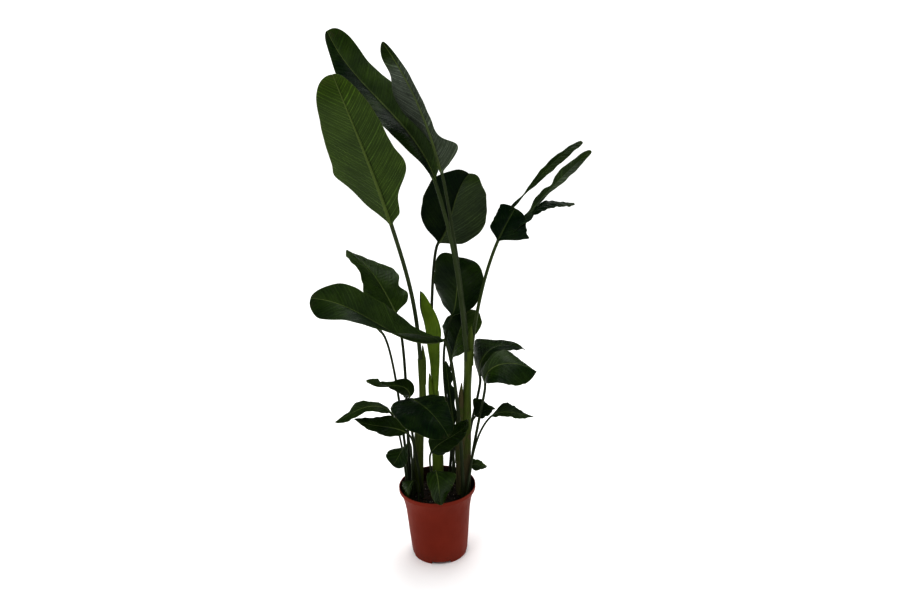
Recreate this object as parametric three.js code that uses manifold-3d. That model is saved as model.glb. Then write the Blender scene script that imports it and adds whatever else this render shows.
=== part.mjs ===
// Potted giant white bird of paradise: a nursery pot, its potting soil, three leafy
// shoots and their long-stalked leaves. Millimetres and degrees, +Z up; the origin is
// the middle of the pot's foot, on the floor. -Y is the front of the plant.
//
// Every leaf is grown from a few values: where its blade starts, the heading and climb
// of its midrib from base to tip, its length and half widths, how the halves fold and
// curl, how the margin waves, and the strips that the wind has torn from it.

import * as THREE from 'three';
import Module from 'manifold-3d';

const wasm = await Module();
wasm.setup();

// Driving dimensions of the pot and the soil

const RIM_RADIUS = 120;
const POT_HEIGHT = 234;
const RIM_BAND = 12;
const FOOT_RADIUS = 86;
const WALL = 2.4;
const FLOOR_TOP = 11;
const FOOT_HEIGHT = 8;
const BOSS_RADIUS = 26;
const FOOT_NOTCHES = 4;
const NOTCH_WIDTH = 42;
const DRAIN_HOLES = 8;
const DRAIN_RADIUS = 6;
const DRAIN_CIRCLE = 56;
const DRAIN_SIDES = 8;
const SOIL_TOP = 196;
const SOIL_LUMP = 2.4;
const LUMP_WAVES = [82, 69, 47];
const POT_SIDES = 32;

// Driving dimensions that all leaves share

const GAP = 0.3;
const BLADE_THICKNESS = 1.2;
const KEEL_DEPTH = 1.5;
const STALK_STEP = 75;
const STATIONS = [0.02, 0.06, 0.14, 0.24, 0.35, 0.46, 0.57, 0.68, 0.79, 0.88, 0.95, 0.99];
const SHORT_STATIONS = [0.02, 0.08, 0.19, 0.33, 0.47, 0.61, 0.75, 0.88, 0.975];
const SHORT_LEAF = 215;
const STRIP_STATIONS = [0.06, 0.18, 0.35, 0.55, 0.75, 0.9, 0.98];
const FORWARD_SWEEP = 0.2;

const deg = Math.PI / 180;
const { lerp } = THREE.MathUtils;

/** Unit vector with a heading in the floor plane (0 = +X, 90 = +Y) and a climb above it. */
function direction(heading, climb) {
  const level = Math.cos(climb * deg);
  return new THREE.Vector3(level * Math.cos(heading * deg), level * Math.sin(heading * deg),
    Math.sin(climb * deg));
}

// Leaf geometry

/** A midrib: starts at the blade's base and turns evenly in heading and climb. */
class Midrib extends THREE.Curve {
  constructor(leaf) {
    super();
    this.leaf = leaf;
    this.steps = 80;
    this.points = [new THREE.Vector3(...leaf.base)];
    for (let i = 0; i < this.steps; i++) {
      const along = direction(...this.anglesAt((i + 0.5) / this.steps));
      this.points.push(this.points[i].clone().addScaledVector(along, leaf.length / this.steps));
    }
  }

  anglesAt(t) {
    const [start, middle, end] = this.leaf.climb;
    const climb = start * (1 - t) * (1 - 2 * t) + 4 * middle * t * (1 - t) + end * t * (2 * t - 1);
    return [lerp(...this.leaf.heading, t), climb];
  }

  getPoint(t) {
    const i = Math.min(Math.floor(t * this.steps), this.steps - 1);
    return this.points[i].clone().lerp(this.points[i + 1], t * this.steps - i);
  }

  /** Point, tangent, upper-side normal and side vector (to the leaf's right). */
  frameAt(t) {
    const [heading, climb] = this.anglesAt(t);
    const tangent = direction(heading, climb);
    const up = direction(heading, climb + 90);
    const side = tangent.clone().cross(up);
    const twist = lerp(...this.leaf.twist, t) * deg;
    const normal = up.clone().multiplyScalar(Math.cos(twist)).addScaledVector(side, Math.sin(twist));
    const right = side.multiplyScalar(Math.cos(twist)).addScaledVector(up, -Math.sin(twist));
    return { point: this.getPoint(t), tangent, normal, right };
  }
}

/** Share of the full half width at t: a rounded rise to the widest place, then the tip, with dents. */
function widthShare(leaf, t, half) {
  const wide = leaf.wide[half];
  const full = leaf.full[half];
  let share = Math.sqrt(Math.max(1 - Math.abs(1 - t / wide) ** full, 0));
  if (t > wide) share = Math.max(1 - ((t - wide) / (1 - wide)) ** full, 0) ** leaf.point[half];
  for (const [side, middle, depth, spread] of leaf.dents ?? []) {
    if (side === half) share *= 1 - depth * Math.exp(-(((t - middle) / spread) ** 2));
  }
  return share;
}

/** Place on one half of the blade (0 left, 1 right), s from 0 at the rib to 1 at the margin. */
function bladePoint(leaf, frame, t, half, s, halfWidth) {
  const sign = half === 0 ? -1 : 1;
  const start = lerp(leaf.fold[half], leaf.foldTip[half], t) * deg;
  const bend = leaf.curl[half] * deg;
  const angle = start + bend * s;
  const out = (Math.sin(angle) - Math.sin(start)) / bend;
  const rise = (Math.cos(start) - Math.cos(angle)) / bend;
  const [height, count, phase] = leaf.wave;
  const wave = height * s * s * Math.sin(2 * Math.PI * (count * t + phase + 0.37 * half))
    * Math.min(halfWidth / leaf.half[half], 1);
  const point = frame.point.clone()
    .addScaledVector(frame.right, sign * halfWidth * out)
    .addScaledVector(frame.normal, halfWidth * rise + wave)
    .addScaledVector(frame.tangent, halfWidth * FORWARD_SWEEP * s * s);
  const normal = frame.right.clone().multiplyScalar(-sign * Math.sin(angle))
    .addScaledVector(frame.normal, Math.cos(angle));
  return { point, normal };
}

// Seven rows run from the left margin over the rib to the right margin, on both faces.
// A stalk has the same rows, drawn together on a ring with a groove along its upper side.
const ROWS = [-3, -2, -1, 0, 1, 2, 3];
const UPPER_RING = [155, 155, 122, 90, 58, 25, 25];
const LOWER_RING = [205, 205, 240, 270, 300, 335, 335];
const GROOVE_REACH = 0.62;

function stalkSection(frame, radius) {
  const place = (angle) => {
    const reach = angle === 90 ? radius * GROOVE_REACH : radius;
    return frame.point.clone()
      .addScaledVector(frame.right, reach * Math.cos(angle * deg))
      .addScaledVector(frame.normal, reach * Math.sin(angle * deg));
  };
  return { top: UPPER_RING.map(place), bottom: LOWER_RING.map(place) };
}

function bladeSection(leaf, frame, t, ribRadius) {
  const top = [];
  const bottom = [];
  for (const row of ROWS) {
    const half = row < 0 ? 0 : 1;
    const halfWidth = Math.max(widthShare(leaf, t, half) * leaf.half[half], ribRadius * 1.6);
    const ribShare = ribRadius * 1.1 / halfWidth;
    const s = [0, ribShare, lerp(ribShare, 1, 0.55), 1][Math.abs(row)];
    const place = bladePoint(leaf, frame, t, half, s, halfWidth);
    const normal = row === 0 ? frame.normal : place.normal;
    const keel = row === 0 ? ribRadius * KEEL_DEPTH : 0;
    top.push(place.point.clone().addScaledVector(normal, BLADE_THICKNESS / 2));
    bottom.push(place.point.clone().addScaledVector(normal, -BLADE_THICKNESS / 2 - keel));
  }
  return { top, bottom };
}

/** Collects triangles over shared corners and drops those that have closed up. */
class Skin {
  constructor() {
    this.positions = [];
    this.triangles = [];
    this.known = new Map();
  }

  corner(v) {
    const key = v.toArray().map((value) => Math.round(value * 1e4)).join();
    if (!this.known.has(key)) {
      this.known.set(key, this.positions.length / 3);
      this.positions.push(v.x, v.y, v.z);
    }
    return this.known.get(key);
  }

  triangle(a, b, c) {
    const corners = [a, b, c].map((v) => this.corner(v));
    if (new Set(corners).size === 3) this.triangles.push(...corners);
  }

  quad(a, b, c, d) {
    this.triangle(a, b, c);
    this.triangle(a, c, d);
  }

  geometry() {
    const geometry = new THREE.BufferGeometry();
    geometry.setAttribute('position', new THREE.Float32BufferAttribute(this.positions, 3));
    geometry.setIndex(this.triangles);
    return geometry;
  }
}

/** Closed skin over a run of sections; the two faces are split into triangles alike. */
function sheetLoft(sections) {
  const skin = new Skin();
  const last = ROWS.length - 1;
  for (let i = 0; i + 1 < sections.length; i++) {
    const [a, b] = [sections[i], sections[i + 1]];
    for (let j = 0; j < last; j++) {
      skin.quad(a.top[j], a.top[j + 1], b.top[j + 1], b.top[j]);
      skin.quad(a.bottom[j], b.bottom[j], b.bottom[j + 1], a.bottom[j + 1]);
    }
    skin.quad(a.top[last], a.bottom[last], b.bottom[last], b.top[last]);
    skin.quad(a.bottom[0], a.top[0], b.top[0], b.bottom[0]);
  }
  const [first, end] = [sections[0], sections[sections.length - 1]];
  for (let j = 0; j < last; j++) {
    skin.quad(first.top[j + 1], first.top[j], first.bottom[j], first.bottom[j + 1]);
    skin.quad(end.top[j], end.top[j + 1], end.bottom[j + 1], end.bottom[j]);
  }
  return skin.geometry();
}

/** Frames along a stalk, carried down without twisting from the blade's first frame. */
function stalkFrames(leaf) {
  const blade = new Midrib(leaf).frameAt(0);
  const root = new THREE.Vector3(...leaf.root);
  const reach = root.distanceTo(blade.point);
  const curve = new THREE.CubicBezierCurve3(
    root,
    root.clone().addScaledVector(direction(...leaf.rise), reach * leaf.pull[0]),
    blade.point.clone().addScaledVector(blade.tangent, -reach * leaf.pull[1]),
    blade.point,
  );
  const count = Math.max(5, Math.round(reach / STALK_STEP));
  const frames = [];
  let normal = blade.normal;
  for (let i = count; i >= 0; i--) {
    const tangent = curve.getTangentAt(i / count);
    normal = normal.clone().addScaledVector(tangent, -normal.dot(tangent)).normalize();
    const right = tangent.clone().cross(normal);
    const radius = lerp(...leaf.stalk, Math.min(1, 1.15 * i / count));
    frames.unshift({ point: curve.getPointAt(i / count), normal, right, radius });
  }
  return frames;
}

/** A stalk without its blade, grown by a clearance: what the hole for it is cut with. */
const stalkHole = (leaf) => {
  const frames = stalkFrames(leaf);
  frames[0].point.addScaledVector(direction(...leaf.rise), -GAP);
  return solid(sheetLoft(frames.map((frame) => stalkSection(frame, frame.radius + GAP))));
};

const bladeSections = (leaf, stations, ribRadius) => {
  const rib = new Midrib(leaf);
  return stations.map((t) => bladeSection(leaf, rib.frameAt(t), t, ribRadius * (1 - 0.8 * t)));
};

/** A whole leaf in one skin, with its torn strips fused on. */
function leafSolid(leaf) {
  const stalk = stalkFrames(leaf).map((frame) => stalkSection(frame, frame.radius));
  const stations = leaf.length > SHORT_LEAF ? STATIONS : SHORT_STATIONS;
  let whole = solid(sheetLoft([...stalk, ...bladeSections(leaf, stations, leaf.stalk[1])]));
  const blades = [leaf];
  for (const strip of leaf.strips ?? []) {
    const [parent, t, half, s] = strip.grows;
    const carrier = blades[parent];
    const halfWidth = widthShare(carrier, t, half) * carrier.half[half];
    const start = bladePoint(carrier, new Midrib(carrier).frameAt(t), t, half, s, halfWidth);
    const placed = { ...strip, base: start.point.toArray() };
    const root = stalkSection(new Midrib(placed).frameAt(0), strip.neck);
    const places = strip.length > SHORT_LEAF ? STATIONS : STRIP_STATIONS;
    whole = whole.add(solid(sheetLoft([root, ...bladeSections(placed, places, strip.neck / 2)])));
    blades.push(placed);
  }
  return whole;
}

// Stems

/** Solid column along a hand-set line of [x, y, z, half width, half depth], round or rolled. */
function column(line, { sides = 12, roll = 0 } = {}) {
  const curve = new THREE.CatmullRomCurve3(line.map(([x, y, z]) => new THREE.Vector3(x, y, z)));
  const count = line.length - 1;
  const rings = [];
  for (let i = 0; i <= count; i++) {
    const [, , , halfWidth, halfDepth = halfWidth] = line[i];
    const middle = curve.getPoint(i / count);
    const tangent = curve.getTangent(i / count);
    const across = new THREE.Vector3(1, 0, 0).addScaledVector(tangent, -tangent.x).normalize();
    const along = tangent.clone().cross(across);
    const ring = [];
    for (let j = 0; j < sides; j++) {
      const angle = 2 * Math.PI * (j + 0.5) / sides;
      const share = 1 - roll * j / sides;
      ring.push(middle.clone().addScaledVector(across, halfWidth * share * Math.cos(angle))
        .addScaledVector(along, halfDepth * share * Math.sin(angle)));
    }
    rings.push({ middle, ring });
  }
  const skin = new Skin();
  const [first, end] = [rings[0], rings[count]];
  for (let j = 0; j < sides; j++) {
    const next = (j + 1) % sides;
    for (let i = 0; i < count; i++) {
      skin.quad(rings[i].ring[j], rings[i].ring[next], rings[i + 1].ring[next], rings[i + 1].ring[j]);
    }
    skin.triangle(first.middle, first.ring[next], first.ring[j]);
    skin.triangle(end.middle, end.ring[j], end.ring[next]);
  }
  return solid(skin.geometry());
}

// Solids

function solid(geometry) {
  return new wasm.Manifold(new wasm.Mesh({
    numProp: 3,
    vertProperties: new Float32Array(geometry.getAttribute('position').array),
    triVerts: new Uint32Array(geometry.getIndex().array),
  }));
}

/** Closed library geometry with its shared corners merged, as a solid. */
function mergedSolid(geometry) {
  const skin = new Skin();
  const position = geometry.getAttribute('position');
  const index = geometry.getIndex();
  const corner = (i) => new THREE.Vector3().fromBufferAttribute(position, index.getX(i));
  for (let i = 0; i < index.count; i += 3) skin.triangle(corner(i), corner(i + 1), corner(i + 2));
  return solid(skin.geometry());
}

/** The largest body of a cut solid: loose scraps are dropped. */
const largest = (cut) => cut.decompose().reduce((a, b) => (a.volume() > b.volume() ? a : b));

function geometryOf(body) {
  const mesh = body.getMesh();
  const geometry = new THREE.BufferGeometry();
  geometry.setAttribute('position', new THREE.Float32BufferAttribute(mesh.vertProperties, 3));
  geometry.setIndex(Array.from(mesh.triVerts));
  geometry.computeVertexNormals();
  return geometry;
}

/** Lathe about +Z from [radius, height] points that start and end on the axis or close. */
function turned(profile) {
  const points = profile.map(([radius, height]) => new THREE.Vector2(radius, height));
  return new THREE.LatheGeometry(points, POT_SIDES).rotateX(Math.PI / 2);
}

// Pot and soil

/** Outside of the wall, [radius, height] from the foot to under the rim. */
const WALL_LINE = [
  [FOOT_RADIUS, 0], [88.5, 12], [94.5, 80], [100.5, 155], [104.5, 180], [109.5, 202],
  [118, POT_HEIGHT - RIM_BAND],
];

function wallRadius(height) {
  const k = Math.max(1, WALL_LINE.findIndex(([, z]) => z >= height));
  const [[r0, z0], [r1, z1]] = [WALL_LINE[k - 1], WALL_LINE[k]];
  return lerp(r0, r1, (height - z0) / (z1 - z0));
}

function potSolid() {
  const inner = WALL_LINE.slice(2).reverse().map(([radius, height]) => [radius - WALL, height]);
  const footInside = FOOT_RADIUS - 2 * WALL;
  const body = mergedSolid(turned([
    [0, 0], [BOSS_RADIUS, 0], [BOSS_RADIUS + 3, FOOT_HEIGHT], [footInside - 2, FOOT_HEIGHT], [footInside, 0],
    ...WALL_LINE,
    [RIM_RADIUS, POT_HEIGHT - RIM_BAND + 1], [RIM_RADIUS, POT_HEIGHT - 1], [RIM_RADIUS - 1, POT_HEIGHT],
    [RIM_RADIUS - WALL, POT_HEIGHT - 0.5],
    ...inner,
    [wallRadius(FLOOR_TOP) - WALL - 2, FLOOR_TOP + 2], [wallRadius(FLOOR_TOP) - WALL - 5, FLOOR_TOP],
    [BOSS_RADIUS, FLOOR_TOP], [BOSS_RADIUS - 3, WALL + 1], [0, WALL + 1],
  ]));
  let pot = body;
  for (let i = 0; i < FOOT_NOTCHES; i++) {
    const middle = (i + 0.5) * 360 / FOOT_NOTCHES;
    const [from, to] = [middle - NOTCH_WIDTH / 2, middle + NOTCH_WIDTH / 2];
    const outline = new THREE.Shape();
    outline.absarc(0, 0, FOOT_RADIUS + 10, from * deg, to * deg, false);
    outline.absarc(0, 0, FOOT_RADIUS - 12, to * deg, from * deg, true);
    const options = { depth: FOOT_HEIGHT + 1, bevelEnabled: false, curveSegments: 4 };
    const notch = new THREE.ExtrudeGeometry(outline, options).translate(0, 0, -1);
    pot = pot.subtract(mergedSolid(indexed(notch)));
  }
  for (let i = 0; i < DRAIN_HOLES; i++) {
    const angle = 2 * Math.PI * i / DRAIN_HOLES;
    const hole = new THREE.CylinderGeometry(DRAIN_RADIUS, DRAIN_RADIUS, 2 * FLOOR_TOP, DRAIN_SIDES)
      .rotateX(Math.PI / 2)
      .translate(DRAIN_CIRCLE * Math.cos(angle), DRAIN_CIRCLE * Math.sin(angle), FLOOR_TOP);
    pot = pot.subtract(mergedSolid(hole));
  }
  return pot;
}

/** Gives a geometry without an index the plain one, so that its corners can be merged. */
function indexed(geometry) {
  const count = geometry.getAttribute('position').count;
  return geometry.setIndex([...Array(count).keys()]);
}

/** Potting soil: fills the pot to a lumpy top. */
function soilSolid() {
  const side = WALL_LINE.filter(([, height]) => height > FLOOR_TOP + 6 && height < SOIL_TOP)
    .map(([radius, height]) => [radius - WALL - GAP, height]);
  const edge = wallRadius(SOIL_TOP - 8) - WALL - GAP;
  const geometry = turned([
    [0, FLOOR_TOP + GAP], [wallRadius(FLOOR_TOP) - WALL - 8, FLOOR_TOP + GAP], ...side,
    [edge, SOIL_TOP - 8], [edge - 6, SOIL_TOP - 4], [78, SOIL_TOP - 1], [52, SOIL_TOP], [26, SOIL_TOP],
    [0, SOIL_TOP],
  ]);
  const position = geometry.getAttribute('position');
  for (let i = 0; i < position.count; i++) {
    const [x, y, z] = [position.getX(i), position.getY(i), position.getZ(i)];
    if (z < SOIL_TOP - 5) continue;
    const [across, along, aslant] = [x, y, x + y].map((way, k) => 2 * Math.PI * way / LUMP_WAVES[k]);
    const lump = Math.sin(across + 1.3) * Math.cos(along - 0.4) + 0.6 * Math.sin(aslant);
    position.setZ(i, z + SOIL_LUMP * lump);
  }
  return mergedSolid(geometry);
}

// Leaves. Pairs run from base to tip (heading, twist) or left half then right half (half,
// fold, foldTip, curl, wide, point, full). climb is at the base, the middle and the tip.
// root, rise and pull shape the stalk; stalk is its radius at the root and at the blade;
// wave is the margin's height, count and phase. A strip grows from a place on a blade:
// [which blade, t, half, s].

const LEAVES = {
  leaf_upper_left: {
    base: [-93, -61, 1081], heading: [213, 232], climb: [74, 68, 65], length: 443, half: [80, 109],
    twist: [31, 40], fold: [16, 21], foldTip: [9, 8], curl: [-13, -11], wide: [0.37, 0.4],
    point: [0.57, 0.48], full: [1.7, 1.7], wave: [3, 3, 0.1],
    dents: [
      [0, 0.14, 0.28, 0.09], [0, 0.3, -0.24, 0.09], [1, 0.04, 0.35, 0.05], [1, 0.3, -0.24, 0.08],
      [1, 0.73, 0.08, 0.13],
    ],
    root: [-34, 6, 610], rise: [-85, 87], pull: [0.44, 0.35], stalk: [6, 5.5],
  },
  leaf_top_long: {
    base: [32, -3, 1190], heading: [156, 139], climb: [73, 41, 61], length: 550, half: [74, 89],
    twist: [-1, -36], fold: [27, 20], foldTip: [17, 18], curl: [-30, -25], wide: [0.4, 0.38],
    point: [0.63, 0.38], full: [2, 2.2], wave: [3, 3, 0.3],
    dents: [[0, 0.27, -0.22, 0.14], [0, 0.89, 0.35, 0.16], [1, 0.7, 0.24, 0.22]],
    root: [108, 12, 640], rise: [-151, 86], pull: [0.47, 0.34], stalk: [7.5, 5.5],
  },
  leaf_top_folded: {
    base: [53, -10, 1210], heading: [195, 187], climb: [78, 68, 56], length: 388, half: [16, 90],
    twist: [27, 86], fold: [25, 32], foldTip: [13, 9], curl: [-19, 12], wide: [0.4, 0.37],
    point: [0.42, 0.72], full: [2.3, 1.5], wave: [2, 3, 0],
    dents: [[0, 0.12, -4.6, 0.1], [1, 0.13, 0.82, 0.17], [1, 0.78, 0.35, 0.12]],
    root: [110, 46, 640], rise: [110, 84], pull: [0.39, 0.1], stalk: [7.5, 4.6],
  },
  leaf_upper_round: {
    base: [32, 199, 964], heading: [335, 328], climb: [49, 71, 43], length: 251, half: [118, 100],
    twist: [-43, -27], fold: [-5, 12], foldTip: [18, 16], curl: [-19, 4], wide: [0.35, 0.43],
    point: [0.53, 0.48], full: [2, 2.4], wave: [4, 2, 0.2],
    dents: [[0, 0.82, 0.1, 0.12], [1, 0.35, 0.06, 0.11], [1, 0.91, 0.22, 0.12]],
    root: [0, 48, 480], rise: [116, 83], pull: [0.3, 0.08], stalk: [5, 4.2],
  },
  leaf_right_torn: {
    base: [211, 81, 991], heading: [26, 15], climb: [61, 57, 55], length: 109, half: [48, 72],
    twist: [33, 23], fold: [0, -7], foldTip: [14, 1], curl: [-6, -15], wide: [0.39, 0.42],
    point: [0.53, 0.65], full: [2.8, 2.3], wave: [2, 2, 0],
    dents: [[0, 0.84, -0.4, 0.13], [1, 0.28, -0.2, 0.07], [1, 0.64, 0.14, 0.14]],
    root: [118, 28, 640], rise: [30, 82], pull: [0.4, 0.25], stalk: [5.5, 4.6],
    strips: [{
      grows: [0, 0.86, 0, 0.32], heading: [14, 15], climb: [41, 43, 23], length: 300, half: [15, 22],
      twist: [16, 28], fold: [12, 11], foldTip: [1, 5], curl: [-6, -13], wide: [0.38, 0.6],
      point: [0.33, 0.33], full: [2.1, 2.5], wave: [2, 2, 0], neck: 1.6,
      dents: [[0, 0.21, 0.8, 0.12], [1, 0.21, 0.85, 0.15]],
    }, {
      grows: [0, 0.39, 1, 0.45], heading: [8, 15], climb: [50, 43, 36], length: 327, half: [30, 18],
      twist: [18, 26], fold: [3, 12], foldTip: [6, -2], curl: [-20, -11], wide: [0.49, 0.64],
      point: [0.44, 0.41], full: [2.3, 2.4], wave: [2, 2, 0], neck: 1.6,
      dents: [
        [0, 0.1, 0.7, 0.06], [0, 0.22, 0.75, 0.08], [0, 0.53, 0.65, 0.06], [1, 0.15, -1.2, 0.09],
        [1, 0.4, 0.4, 0.12],
      ],
    }, {
      grows: [2, 0.21, 1, 0.85], heading: [12, 8], climb: [63, 3, -5], length: 139, half: [13, 25],
      twist: [15, 8], fold: [12, -3], foldTip: [2, -3], curl: [-9, -10], wide: [0.43, 0.37],
      point: [0.4, 0.43], full: [2.1, 2.4], wave: [1, 1, 0], neck: 1.6,
      dents: [[0, 0.41, -0.39, 0.11], [0, 0.68, 0.27, 0.15], [1, 0.04, -0.28, 0.09], [1, 0.79, -0.15, 0.1]],
    }],
  },
  leaf_mid_left_high: {
    base: [-103, 58, 782], heading: [128, 152], climb: [50, 46, 25], length: 255, half: [80, 94],
    twist: [1, 22], fold: [21, 20], foldTip: [13, -1], curl: [-18, -15], wide: [0.4, 0.4],
    point: [0.53, 0.61], full: [2.3, 2.3], wave: [5, 2, 0.1],
    dents: [[0, 0.24, -0.24, 0.1], [0, 0.76, -0.26, 0.16], [1, 0.28, 0.32, 0.08], [1, 0.62, -0.25, 0.13]],
    root: [-79, 49, 165], rise: [228, 73], pull: [0.18, 0.17], stalk: [5, 4],
  },
  leaf_mid_left_long: {
    base: [40, -47, 731], heading: [206, 172], climb: [-7, 36, -1], length: 419, half: [66, 77],
    twist: [16, -42], fold: [43, 37], foldTip: [2, 11], curl: [-13, -6], wide: [0.43, 0.42],
    point: [0.43, 0.63], full: [2.4, 2.3], wave: [3, 3, 0.4],
    dents: [[0, 0.88, -0.4, 0.1], [1, 0.32, -0.26, 0.1], [1, 0.78, -0.13, 0.11]],
    root: [80, -29, 165], rise: [0, 89], pull: [0.6, 0.03], stalk: [6, 4.6],
  },
  leaf_mid_left_small: {
    base: [-141, 8, 737], heading: [184, 176], climb: [60, 20, 2], length: 236, half: [34, 36],
    twist: [0, 10], fold: [12, 12], foldTip: [5, 5], curl: [-12, -12], wide: [0.4, 0.4],
    point: [0.45, 0.45], full: [2, 2], wave: [2, 2, 0],
    root: [-88, 22, 165], rise: [160, 88], pull: [0.72, 0.06], stalk: [5, 3.5],
  },
  leaf_mid_right_back: {
    base: [66, 107, 752], heading: [40, 81], climb: [55, 78, 39], length: 188, half: [86, 86],
    twist: [-4, 15], fold: [1, 11], foldTip: [16, 8], curl: [-11, -24], wide: [0.44, 0.37],
    point: [0.3, 0.46], full: [2.5, 2], wave: [4, 2, 0.3],
    dents: [[0, 0.38, 0.09, 0.11], [0, 0.64, 0.12, 0.15], [1, 0.26, -0.06, 0.1]],
    root: [55, 66, 165], rise: [77, 82], pull: [0.39, 0.26], stalk: [5, 3.6],
  },
  leaf_centre_back: {
    base: [61, 114, 611], heading: [28, 60], climb: [74, 60, 37], length: 166, half: [69, 83],
    twist: [-10, 11], fold: [12, 11], foldTip: [11, 18], curl: [-14, -15], wide: [0.44, 0.39],
    point: [0.7, 0.47], full: [1.6, 2.1], wave: [4, 2, 0],
    dents: [[0, 0.38, -0.15, 0.1], [1, 0.84, 0.08, 0.13]],
    root: [28, 84, 165], rise: [0, 77], pull: [0.42, 0.25], stalk: [5, 3.4],
  },
  leaf_centre_low: {
    base: [60, -5, 440], heading: [180, 180], climb: [86, 85, 85], length: 210, half: [20, 15],
    twist: [60, 60], fold: [15, 15], foldTip: [10, 10], curl: [-12, -12], wide: [0.5, 0.6],
    point: [0.7, 0.7], full: [2, 2], wave: [2, 2, 0],
    dents: [[0, 0.3, 0.45, 0.12], [0, 0.63, 0.6, 0.06]],
    root: [44, 14, 165], rise: [-60, 87], pull: [0.4, 0.2], stalk: [3.8, 3],
  },
  leaf_right_high: {
    base: [147, 88, 555], heading: [46, 30], climb: [111, 5, -22], length: 242, half: [114, 62],
    twist: [-20, 11], fold: [-11, 0], foldTip: [10, 21], curl: [-16, -22], wide: [0.4, 0.45],
    point: [0.56, 0.58], full: [1.5, 2.5], wave: [4, 2, 0.2],
    dents: [[0, 0.56, -0.38, 0.1], [1, 0.82, 0.08, 0.13]],
    root: [82, 44, 165], rise: [80, 80], pull: [0.49, 0.1], stalk: [4.6, 4],
  },
  leaf_right_broad: {
    base: [159, 7, 565], heading: [-15, 15], climb: [97, 4, -35], length: 206, half: [70, 88],
    twist: [20, 12], fold: [28, 12], foldTip: [-9, -13], curl: [-27, -22], wide: [0.37, 0.43],
    point: [1.02, 1.01], full: [2.3, 2.3], wave: [2, 2, 0.5],
    dents: [[0, 0.2, 0.3, 0.14], [0, 0.7, 0.14, 0.08]],
    root: [93, -13, 165], rise: [20, 87], pull: [0.45, 0.08], stalk: [4.6, 4],
  },
  leaf_right_low: {
    base: [174, -20, 469], heading: [-31, 15], climb: [47, -6, -18], length: 140, half: [53, 29],
    twist: [-6, 7], fold: [18, 4], foldTip: [-9, 4], curl: [-8, -16], wide: [0.29, 0.36],
    point: [1.07, 0.97], full: [1.6, 2.5], wave: [2, 2, 0.1],
    dents: [[0, 0.15, -0.35, 0.1], [0, 0.59, 0.15, 0.12], [1, 0.39, -0.09, 0.11], [1, 0.91, 0.29, 0.14]],
    root: [85, -40, 165], rise: [0, 83], pull: [0.44, 0.29], stalk: [3.6, 3],
  },
  leaf_right_small: {
    base: [127, 37, 443], heading: [0, 6], climb: [52, 16, -2], length: 70, half: [55, 37],
    twist: [19, -15], fold: [22, 1], foldTip: [11, 17], curl: [1, -4], wide: [0.38, 0.39],
    point: [0.89, 0.97], full: [1.9, 2.1], wave: [2, 2, 0],
    dents: [[0, 0.17, -0.18, 0.09], [0, 0.68, 0.44, 0.22], [1, 0.46, -0.24, 0.14], [1, 0.58, -0.26, 0.14]],
    root: [90, 24, 165], rise: [40, 84], pull: [0.4, 0.25], stalk: [3.4, 2.6],
  },
  leaf_rim_right: {
    base: [102, 40, 270], heading: [2, 6], climb: [42, -14, -8], length: 62, half: [19, 51],
    twist: [29, -9], fold: [25, 12], foldTip: [-4, 7], curl: [6, 17], wide: [0.4, 0.35],
    point: [0.91, 1.02], full: [2.5, 1.7], wave: [1, 2, 0],
    dents: [[0, 0.34, 0.07, 0.13], [1, 0.35, 0.18, 0.14], [1, 0.59, 0.13, 0.13]],
    root: [85, 34, 165], rise: [0, 88], pull: [0.6, 0.1], stalk: [3, 2.4],
  },
  leaf_left_curled: {
    base: [-74, 4, 529], heading: [201, 196], climb: [110, 6, 70], length: 167, half: [58, 31],
    twist: [-49, 40], fold: [-1, 34], foldTip: [24, 0], curl: [2, 10], wide: [0.38, 0.3],
    point: [0.66, 0.58], full: [2.1, 2.8], wave: [3, 2, 0.2],
    dents: [[0, 0.29, 0.27, 0.13], [0, 0.78, -0.26, 0.13], [1, 0.43, 0.48, 0.15], [1, 0.7, -0.21, 0.12]],
    root: [-76, 8, 165], rise: [41, 82], pull: [0.4, 0.25], stalk: [3.6, 3],
  },
  leaf_left_arched: {
    base: [-132, 2, 482], heading: [185, 189], climb: [58, -15, -20], length: 189, half: [39, 34],
    twist: [-4, -3], fold: [-4, 9], foldTip: [4, 8], curl: [-14, -21], wide: [0.44, 0.41],
    point: [0.83, 1.06], full: [2.5, 1.6], wave: [2, 2, 0],
    dents: [[0, 0.39, 0.44, 0.16], [1, 0.56, -0.85, 0.12]],
    root: [-93, 4, 165], rise: [-154, 88], pull: [0.37, 0.17], stalk: [3.6, 3],
  },
  leaf_left_low: {
    base: [-84, -34, 430], heading: [183, 185], climb: [37, 12, 38], length: 167, half: [33, 40],
    twist: [-44, 1], fold: [5, 10], foldTip: [4, 3], curl: [-3, -11], wide: [0.4, 0.36],
    point: [0.83, 0.64], full: [1.5, 2.1], wave: [3, 2, 0.3],
    dents: [[0, 0.39, -0.12, 0.12], [1, 0.72, 0.07, 0.11]],
    root: [-86, -20, 165], rise: [93, 84], pull: [0.39, 0.2], stalk: [3.4, 2.8],
  },
  leaf_front_broad: {
    base: [-62, -57, 552], heading: [291, 312], climb: [14, -8, -51], length: 223, half: [60, 106],
    twist: [-4, 10], fold: [15, 13], foldTip: [13, 5], curl: [-12, -13], wide: [0.36, 0.41],
    point: [0.65, 0.66], full: [1.9, 1.9], wave: [4, 2, 0.1],
    dents: [[0, 0.25, -0.29, 0.14], [0, 0.7, 0.08, 0.12], [1, 0.75, 0.07, 0.11]],
    root: [-44, -10, 165], rise: [-110, 82], pull: [0.4, 0.25], stalk: [4.6, 3.6],
  },
  leaf_front_low: {
    base: [-13, -64, 376], heading: [-4, -14], climb: [59, 33, 63], length: 161, half: [50, 46],
    twist: [28, 8], fold: [22, 7], foldTip: [6, -6], curl: [-4, -22], wide: [0.37, 0.39],
    point: [0.62, 0.57], full: [2.5, 2.3], wave: [3, 2, 0.2],
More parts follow.
